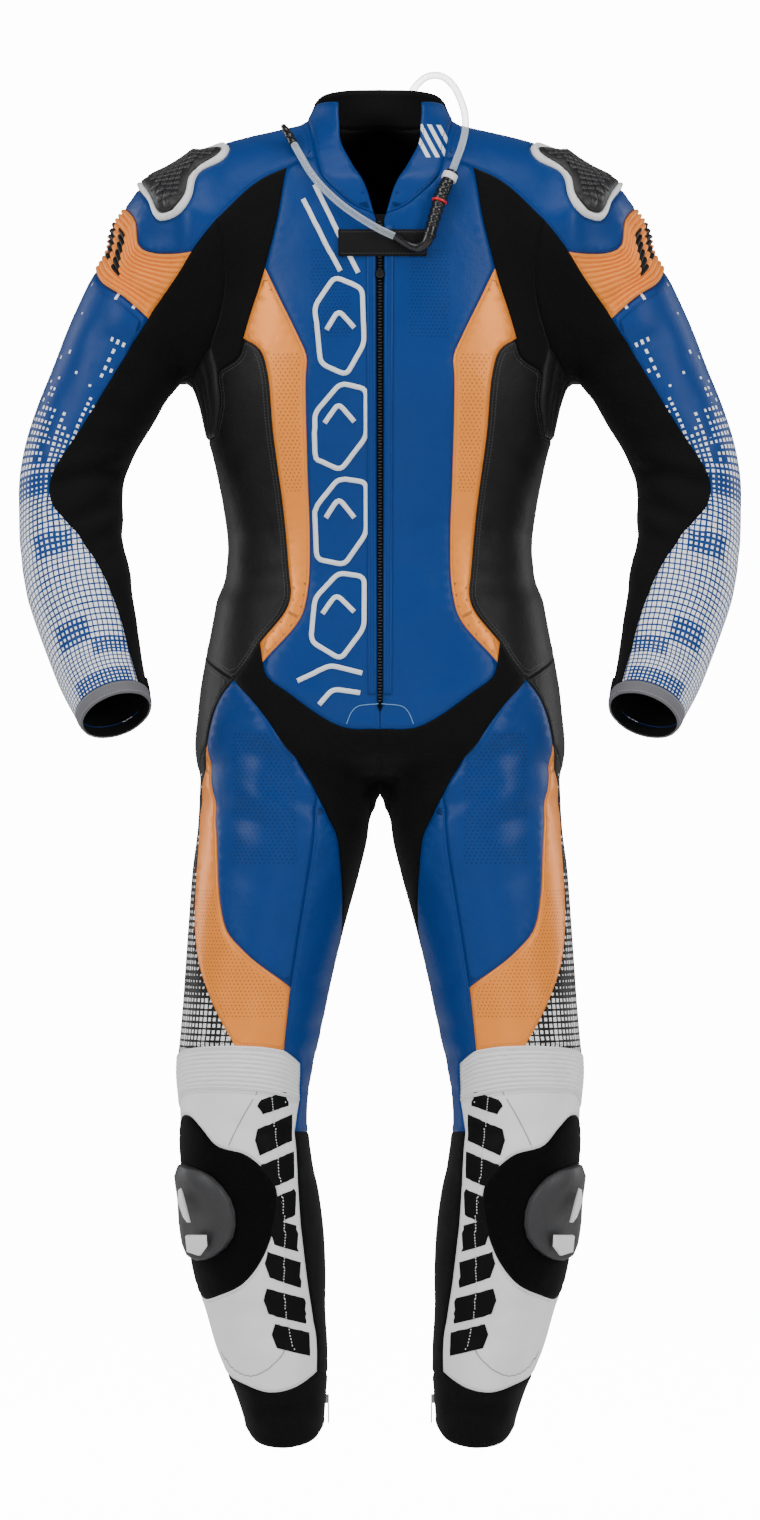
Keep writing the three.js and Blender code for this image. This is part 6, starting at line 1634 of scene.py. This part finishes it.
for side in ("left", "right"):
    for name, line in SEAM_LINES.items():
        piece = strip_piece(front_line(line, smooth=True), 1.1, across=1)
        graphics.append(layer(f"shin_seam_{name}_{side}", f"shin_{side}", piece, 0.1, 0.25, ink_gray,
                              "white_leather", mirrored=side == "right"))
    stitch = front_line(STITCH, step=2.6, smooth=True)
    graphics.append(layer(f"shin_stitch_{side}", f"shin_{side}",
                          strip_piece(stitch, 0.8, across=1, dashed=True), 0.6,
                          0.3, thread_white, "white_leather", mirrored=side == "right"))
    fold = seam["zipEdge"] + np.array([5.2, 0, 0])
    graphics.append(layer(f"zip_fold_{side}", f"front_panel_{side}",
                          strip_piece(fold[2:-2], 8.5, across=4), 0.2, 0.9,
                          blue, "blue_leather", mirrored=side == "right"))
    arch = front_line(curve_points([(1.5, -571), (23, -574), (29, -580), (34, -592)], False), step=3.0)
    graphics.append(layer(f"zip_arch_{side}", f"front_panel_{side}",
                          strip_piece(arch, 0.8, across=1), 0.2, 0.35,
                          thread_blue, "blue_leather", mirrored=side == "right"))
    cuff_chart = CHARTS["sleeve"](180)
    cuff_at = cuff_chart[0](seam["cuffInner"])
    middle_at = cuff_at[len(cuff_at) // 2]
    flap_flat = middle_at + np.array([(-30, -2), (14, -2), (20, -12), (10, -24), (-22, -20)])
    flap_next = np.roll(flap_flat, -1, axis=0)
    flap_line = cuff_chart[1](np.vstack([a + (b - a) * t for a, b in zip(flap_flat, flap_next)
                                         for t in np.linspace(0, 1, 6)[:-1]]))
    graphics.append(layer(f"cuff_flap_{side}", f"sleeve_inner_{side}",
                          region(cuff_chart, flap_line), 0.3, 1.6,
                          black_cloth, "black_loop", mirrored=side == "right"))
print("layers", len(graphics))

# %% [markdown]
# ## Hard pieces
# Sliders, pucks, zip parts and hose fittings are moulded, with a smoother sheen than leather. They share a
# few plain materials, since their look comes from shape and gloss more than from a pattern.

# %% Plastic, metal and tube materials
def plain_material(name, code, roughness, metallic=0.0, bump_mm=0.0, coat=0.0):
    made = bpy.data.materials.new(name)
    made.use_nodes = True
    tree = made.node_tree
    shader = tree.nodes["Principled BSDF"]
    shader.inputs["Base Color"].default_value = colour(code)
    shader.inputs["Metallic"].default_value = metallic
    shader.inputs["Coat Weight"].default_value = coat
    noise = add_node(tree, "ShaderNodeTexNoise", {"Vector": object_place(tree), "Scale": 180.0,
                                                  "Detail": 3.0}).outputs["Fac"]
    rough = calc(tree, "ADD", calc(tree, "MULTIPLY", noise, 0.15), roughness - 0.07)
    tree.links.new(rough, shader.inputs["Roughness"])
    if bump_mm:
        bump = add_node(tree, "ShaderNodeBump", {"Height": noise, "Strength": 0.5, "Distance": bump_mm * MM})
        tree.links.new(bump.outputs[0], shader.inputs["Normal"])
    return made


black_plastic = plain_material("slider_plastic", "#0c0c0d", 0.5, bump_mm=0.25)
tile_plastic = plain_material("slider_tile_plastic", "#262628", 0.42, bump_mm=0.25)
puck_top_plastic = plain_material("puck_plastic", "#2b2b2d", 0.5, bump_mm=0.35)
white_plastic = plain_material("white_plastic", "#e6e6e6", 0.35)
gloss_plastic = plain_material("connector_plastic", "#101012", 0.25)
red_plastic = plain_material("red_plastic", "#c4161c", 0.35)
metal = plain_material("zip_metal", "#77787b", 0.3, metallic=1.0)
tube = bpy.data.materials.new("clear_hose")
tube.use_nodes = True
tube_tree = tube.node_tree
tube_shader = tube_tree.nodes["Principled BSDF"]
facing = add_node(tube_tree, "ShaderNodeLayerWeight", {"Blend": 0.35}).outputs["Facing"]
tube_shader.inputs["Base Color"].default_value = colour("#cfdae3")
tube_shader.inputs["Roughness"].default_value = 0.12
tube_tree.links.new(calc(tube_tree, "ADD", calc(tube_tree, "MULTIPLY", facing, 0.75), 0.22),
                    tube_shader.inputs["Alpha"])


# %% [markdown]
# ## Shoulder sliders
# A hard plate with a grid of small tiles sits in a white frame and takes the wear. A block can't follow a
# shoulder that bends both ways, so the frame, plate and tiles are shells along its surface.

# %% Shoulder sliders
def shrunk(chart, line, distance):
    """The closed line moved inward on its chart."""
    flat = chart[0](line)
    before, after = np.roll(flat, 1, axis=0), np.roll(flat, -1, axis=0)
    way = unit(flat - before) + unit(after - flat)
    side = unit(np.stack([-way[:, 1], way[:, 0]], axis=1))
    area = (flat[:, 0] * after[:, 1] - after[:, 0] * flat[:, 1]).sum()
    moved = flat + side * (distance if area > 0 else -distance)
    for _ in range(4):
        moved = (moved + (np.roll(moved, 1, axis=0) + np.roll(moved, -1, axis=0)) / 2) / 2
    moved = moved[inside_loop(moved, flat)]
    return chart[1](moved)


def tiles_on(chart, outline, pitch, half, turn, clear):
    """Small square tiles in a turned grid inside a closed line of the chart."""
    edge_line = chart[0](outline)
    c, s = math.cos(math.radians(turn)), math.sin(math.radians(turn))
    turn_back = np.array([[c, s], [-s, c]])
    count = int(np.ptp(edge_line, axis=0).max() / pitch) + 2
    steps = np.arange(-count, count + 1) * pitch
    centres = np.stack(np.meshgrid(steps, steps), axis=-1).reshape(-1, 2) @ turn_back + edge_line.mean(0)
    corners = np.array([(-half, -half), (half, -half), (half, half), (-half, half)]) @ turn_back
    flat = (centres[:, None, :] + corners[None]).reshape(-1, 2)
    good = inside_loop(flat, edge_line) & (to_loop(flat, edge_line)[0] > clear)
    flat = flat.reshape(-1, 4, 2)[good.reshape(-1, 4).all(1)].reshape(-1, 2)
    first = np.arange(0, len(flat), 4)[:, None]
    tris = np.vstack([first + np.array([0, 1, 2]), first + np.array([0, 2, 3])])
    points = chart[1](flat)
    return {"points": points, "normals": normal_at(points), "tris": tris, "flat": flat,
            "edge": to_loop(flat, edge_line)[0], "along": 0 * flat[:, 0]}


SLIDER_HEIGHT = 7
plate_line = shrunk(shoulder, loop["slider"], 6.5)
frame_ring = region(shoulder, loop["slider"], [plate_line], step=3.0)
frame_lift = 4.2 * np.clip(frame_ring["edge"] / 2.2, 0, 1) ** 0.6 + 0.6
plate = region(shoulder, plate_line, step=4.0)
tiles = tiles_on(shoulder, plate_line, 7.2, 3.0, 38, 2.5)


def plate_rise(piece):
    return 3.0 + (SLIDER_HEIGHT - 3.8) * np.clip(piece["edge"] / 9, 0, 1) ** 0.7


for side in ("left", "right"):
    made = shell(f"slider_frame_{side}", frame_ring, frame_lift, [white_plastic, black_plastic],
                 "slider_plastic", mirrored=side == "right")
    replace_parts(made, f"shoulder_slider_{side}")
    shell(f"slider_plate_{side}", plate, plate_rise(plate), [black_plastic, black_plastic], "slider_plastic",
          mirrored=side == "right")
    shell(f"slider_tiles_{side}", tiles, plate_rise(tiles) + 0.9,
          [tile_plastic, tile_plastic], "slider_plastic",
          mirrored=side == "right", floor=plate_rise(tiles) - 0.6)
print("slider plate", len(plate["points"]), "points and", len(tiles["points"]) // 4, "tiles")


# %% [markdown]
# ## Knee pucks
# A knee puck is a thick moulded pad that is held by hook and loop. A filled circle, shaped and laid on the
# knee, keeps its face smooth, which a cut block wouldn't.

# %% Knee pucks, modelled from a filled circle
def to_blender(points):
    return [Vector(p * MM) for p in points]


def deselect():
    if bpy.context.object and bpy.context.object.mode != "OBJECT":
        bpy.ops.object.mode_set(mode="OBJECT")
    bpy.ops.object.select_all(action="DESELECT")


def finish_hard(obj, name, material, slot_name, bevel=0.0, segments=3, angle=30, body="root"):
    """Bevel, smooth by angle, apply, name and mount a hard piece."""
    if bevel:
        rounding = obj.modifiers.new("bevel", "BEVEL")
        rounding.width, rounding.segments, rounding.limit_method = bevel * MM, segments, "ANGLE"
        rounding.angle_limit = math.radians(angle)
        bpy.ops.object.modifier_apply(modifier="bevel")
    bpy.ops.object.transform_apply(location=True, rotation=True, scale=True)
    bpy.ops.object.shade_smooth_by_angle(angle=math.radians(35))
    obj.name = name
    obj.data.materials.clear()
    obj.data.materials.append(material)
    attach(obj, body)
    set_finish(obj, slot_name)
    made_pieces.append(obj)
    return obj


def mirrored_copy(obj, name, body="root"):
    """A copy on the other side, with its own mesh."""
    deselect()
    copy = bpy.data.objects.new(name, obj.data.copy())
    bpy.context.collection.objects.link(copy)
    copy.data.transform(Matrix.Scale(-1, 4, (1, 0, 0)))
    copy.data.flip_normals()
    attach(copy, body)
    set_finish(copy, obj["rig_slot"])
    made_pieces.append(copy)
    return copy


def outline_block(line, steps):
    """A block raised from an outline: a filled circle moved onto it, then extruded, moved and drawn in."""
    deselect()
    bpy.ops.mesh.primitive_circle_add(vertices=len(line), radius=0.02, fill_type="NGON")
    obj = bpy.context.object
    for vertex, place in zip(obj.data.vertices, to_blender(line)):
        vertex.co = place
    bpy.ops.object.mode_set(mode="EDIT")
    bpy.ops.mesh.select_all(action="SELECT")
    for way, rise, share in steps:
        bpy.ops.mesh.extrude_region_move(TRANSFORM_OT_translate={"value": tuple(way * rise * MM)})
        if share != 1:
            bpy.ops.transform.resize(value=(share, share, share))
    bpy.ops.mesh.select_all(action="SELECT")
    bpy.ops.mesh.normals_make_consistent(inside=False)
    bpy.ops.object.mode_set(mode="OBJECT")
    return obj


puck_points = spaced(curve_points(loop["puck"][::6], True), 22)[:-1]
puck_way = unit(normal_at(puck_points).mean(0))
puck_way = unit(puck_way + np.array([0.0, -0.25, 0.0]))
puck_centre = puck_points.mean(0)
base_line = puck_points + normal_at(puck_points) * 1.5
puck = outline_block(base_line, [(puck_way, 7, 0.99), (puck_way, 6.5, 0.9), (puck_way, 4.5, 0.74)])
ridge_way = np.array([0.45, 0.0, -0.9])
top_level = max((Vector(puck_way) @ v.co for v in puck.data.vertices))
for vertex in puck.data.vertices:
    if Vector(puck_way) @ vertex.co > top_level - 0.006:
        away = (np.array(vertex.co) / MM - puck_centre) @ ridge_way
        vertex.co += Vector(puck_way * (2.2 - abs(away - 6) * 0.16) * MM)
puck = finish_hard(puck, "puck_left", puck_top_plastic, "slider_plastic", bevel=1.6)
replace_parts(puck, "knee_slider_left")
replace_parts(mirrored_copy(puck, "puck_right"), "knee_slider_right")


def insert_block(name, line, depth):
    """A white wear piece let into the puck's outer side."""
    points = np.array(line, float)
    made = outline_block(points, [(puck_way, depth, 0.93)])
    made = finish_hard(made, name + "_left", white_plastic, "slider_plastic", bevel=0.7, segments=2)
    mirrored_copy(made, name + "_right")


def on_puck(out, up, rise):
    """A point over the puck's flank, by its place seen from the front."""
    base = seen(np.array([out]), np.array([up]), -1)[0]
    return base + puck_way * rise


insert_block("puck_block", [on_puck(x, z, 17.5) for x, z in
                            ((184, -1110), (164, -1109), (163, -1121), (170, -1131), (183, -1128))], 4.0)
insert_block("puck_wedge", [on_puck(x, z, 15.5) for x, z in
                            ((192, -1062), (187, -1072), (181, -1098), (186, -1092), (193, -1074))], 5.5)

# %% [markdown]
# ## Chest tab, zips and snap
# The tab holds the drinking hose, and moulded teeth run down the front. One bevelled tooth is repeated, as
# on a real zip, because a painted row looks flat. The same block makes the sliders of the calf zips.

# %% Chest tab, zip and snap
tab_x = np.linspace(-42, 47, 24)
tab_line = [seen(np.abs(tab_x), np.full(24, z), -1) * np.stack([np.sign(tab_x), 1 + 0 * tab_x, 1 + 0 * tab_x],
                                                             axis=1) for z in (-90.0, -117.0)]
tab_piece = ruled(tab_line[0], tab_line[1], 8, 30)
tab_cloth = cloth_material("tab_cloth", "#0d0d0f", 0.8, 0.5, rows=(2.6,), thread="#3a3a3c", weave=True)
tab_lift = 2.6 + 0.4 * np.clip(tab_piece["edge"] / 3, 0, 1)
made = shell("cloth_chest_tab", tab_piece, tab_lift, [tab_cloth, tab_cloth], "black_loop", floor=0.5)
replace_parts(made, "chest_tab")


def bevelled_block(name, size, bevel, segments, at=(0, 0, 0)):
    """A block with rounded edges. Size, bevel and place are in millimetres."""
    deselect()
    bpy.ops.mesh.primitive_cube_add(size=1, location=np.array(at) * MM)
    block = bpy.context.object
    block.name = name
    block.scale = np.array(size) * MM
    bpy.ops.object.transform_apply(location=False, rotation=False, scale=True)
    bpy.ops.object.mode_set(mode="EDIT")
    bpy.ops.mesh.select_all(action="SELECT")
    bpy.ops.mesh.bevel(offset=bevel * MM, segments=segments, affect="EDGES")
    bpy.ops.object.mode_set(mode="OBJECT")
    return block


TEETH_PITCH, TEETH_TOP, TEETH_BOTTOM = 3.0, -82, -570
TOOTH_SIZE = (4.2, 1.6, 1.5)
tooth = bevelled_block("tooth", TOOTH_SIZE, 0.35, 1)
levels = np.arange(TEETH_TOP, TEETH_BOTTOM, -TEETH_PITCH)
zip_front = seen(np.full(len(levels), 0.01), levels, -1)
tooth_points = np.array([v.co[:] for v in tooth.data.vertices])
tooth_faces = [list(f.vertices) for f in tooth.data.polygons]
row_points = np.vstack([tooth_points + np.array([(0.35 if k % 2 else -0.35) * MM, p[1] * MM, p[2] * MM])
                        for k, p in enumerate(zip_front)])
row_faces = [[i + k * len(tooth_points) for i in f] for k in range(len(levels)) for f in tooth_faces]
teeth_mesh = bpy.data.meshes.new("zip_teeth")
teeth_mesh.from_pydata(row_points.tolist(), [], row_faces)
teeth = bpy.data.objects.new("zip_teeth", teeth_mesh)
bpy.context.collection.objects.link(teeth)
teeth_mesh.materials.append(gloss_plastic)
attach(teeth, "root")
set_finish(teeth, "zip_tape")
bpy.data.objects.remove(tooth)

# The calf zip's slider sits on the ankle band, just above its pull.
ZIP_SLIDER_AT, ZIP_SLIDER_SIZE = (54.6, 22, -1288), (4, 7, 9)
for side, sign in (("left", 1), ("right", -1)):
    zip_slider = bevelled_block(f"calf_zip_slider_{side}", ZIP_SLIDER_SIZE, 0.6, 2,
                                np.array(ZIP_SLIDER_AT) * (sign, 1, 1))
    zip_slider.data.materials.append(metal)
    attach(zip_slider, "root")
    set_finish(zip_slider, "zip_metal")

for side in ("left", "right"):
    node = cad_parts[f"calf_zip_pull_{side}"]
    node.data.materials.clear()
    node.data.materials.append(metal)
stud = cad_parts["snap_stud"]
stud.data.materials.clear()
stud.data.materials.append(gloss_plastic)

# %% [markdown]
# ## Hose
# The drinking hose leaves the hump, passes the collar and ends in a connector. Its lower half runs from
# the connector to the mouthpiece.

# %% Hose, connector and mouthpiece
HOSE_UPPER = [(20, 104, 13.4), (22, 101, 30), (27, 93, 50), (33, 80, 66), (41, 66, 76), (52, 48, 81),
              (65, 28, 78), (76, 6, 66), (83, -16, 50), (87, -38, 33), (87, -60, 15), (83, -80, -3),
              (77, -95, -20), (73.5, -100.5, -29.5)]
HOSE_LOWER = [(14.4, -117.4, -97.2), (0, -118, -90.5), (-13, -117, -83), (-35, -113, -68), (-56, -106, -49),
              (-70, -98, -32), (-81, -87, -13), (-87.5, -76, -0.8)]
CONNECTOR = [(73.2, -101, -30.4, 6.5), (68, -105, -42, 6.5), (63, -109, -53, 7), (56, -114, -75, 6.5),
             (50, -116.8, -95, 6.5), (46, -117.6, -104, 6), (39, -117.8, -109, 5.5), (30, -117.3, -107, 4.2),
             (15, -117.3, -97.7, 4.2)]
MOUTHPIECE = [(-87.9, -75.4, -0.2, 4.5), (-91, -70, 6, 4.5), (-95, -64, 13, 4), (-99, -58, 20, 3)]
HOSE_RADIUS = 3.75


def round_curve(name, points, radii, material, slot_name):
    """A round body along a line."""
    data = bpy.data.curves.new(name, "CURVE")
    data.dimensions = "3D"
    data.bevel_depth = MM
    data.bevel_resolution = 5
    data.use_fill_caps = True
    spline = data.splines.new("POLY")
    spline.points.add(len(points) - 1)
    for place, p, r in zip(spline.points, points, radii):
        place.co = (*(np.array(p) * MM), 1)
        place.radius = r
    data.materials.append(material)
    made = bpy.data.objects.new(name, data)
    bpy.context.collection.objects.link(made)
    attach(made, "root")
    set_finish(made, slot_name)
    return made


def hose_object(name, route, nodes):
    line = curve_points(np.array(route, float), False)
    length = line_length(line) * MM
    points = spaced(line, round(length / MM / 4))
    made = round_curve(name, points, np.ones(len(points)), tube, "clear_hose")
    made.data.bevel_depth = HOSE_RADIUS * MM
    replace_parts(made, *nodes)
    return made, length


connector_line = spaced(curve_points(np.array(CONNECTOR, float), False), 90)
step_at = np.linspace(0, 1, 91)
ribbing = 1 + 0.07 * np.sign(np.sin(step_at * 2 * np.pi * 16)) * ((step_at > 0.12) & (step_at < 0.55))
connector = round_curve("connector", connector_line[:, :3], connector_line[:, 3] * ribbing * 0.97,
                        gloss_plastic, "connector_plastic")
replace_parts(connector, "hose_connector")
mouth_line = spaced(curve_points(np.array(MOUTHPIECE, float), False), 24)
mouth_rib = 1 + 0.06 * np.sign(np.sin(np.linspace(0, 1, 25) * 2 * np.pi * 3))
mouth = round_curve("bite_valve", mouth_line[:, :3], mouth_line[:, 3] * mouth_rib * 0.96, gloss_plastic,
                    "connector_plastic")
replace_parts(mouth, "mouthpiece")


def collar_ring(name, share, radius, height, material):
    """A ring round the connector."""
    i = int(share * 90)
    centre, way = connector_line[i, :3], unit(connector_line[i + 1, :3] - connector_line[i - 1, :3])
    deselect()
    turn = Vector(way).to_track_quat("Z", "Y").to_euler()
    bpy.ops.mesh.primitive_cylinder_add(vertices=32, radius=radius * MM, depth=height * MM,
                                        location=Vector(centre * MM), rotation=turn)
    ring_object = bpy.context.object
    bpy.ops.object.mode_set(mode="EDIT")
    bpy.ops.mesh.select_all(action="SELECT")
    bpy.ops.mesh.bevel(offset=0.6 * MM, segments=2, affect="EDGES")
    bpy.ops.object.mode_set(mode="OBJECT")
    return finish_hard(ring_object, name, material, "connector_plastic")


rings = [collar_ring("red_ring", 0.30, 7.9, 2.4, red_plastic),
         collar_ring("clear_collar", 0.06, 8.0, 7.0, white_plastic),
         collar_ring("valve_ring", 0.62, 7.4, 3.0, gloss_plastic)]
upper, upper_length = hose_object("hose_top", HOSE_UPPER, ["hose_upper"])
lower, lower_length = hose_object("hose_front", HOSE_LOWER, ["hose_lower"])
[v * MM for v in HOSE_UPPER[0]]
[v * MM for v in HOSE_LOWER[0]]
print("hose", round(upper_length, 3), "and", round(lower_length, 3), "m")

# %% [markdown]
# ## The cloth and its cuts
# For each panel, the size that it would be cut to, measured on its own surface, is printed.
# Ribbed pieces give their length with the ribs let out.

# %% Cloth cuts
for label, obj in SHEETS.items():
    width, length, area, grown = CUTS[label]
    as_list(ON_SHEET.get(label, []))
    if not label.endswith("_right"):
        print("cut", label, width, "x", length, "m,", area, "m2, grown", grown)
print("sheets", len(SHEETS), "layers on them", sum(len(v) for v in ON_SHEET.values()))

# %% [markdown]
# ## Sizes
# The bounds of the finished suit are measured, as those of the solids were at the start.

# %% Sizes and the end
low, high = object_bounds()
({"cad": [list(map(float, cad_low)), list(map(float, cad_high))],
           "visual": [list(map(float, low)), list(map(float, high))]})
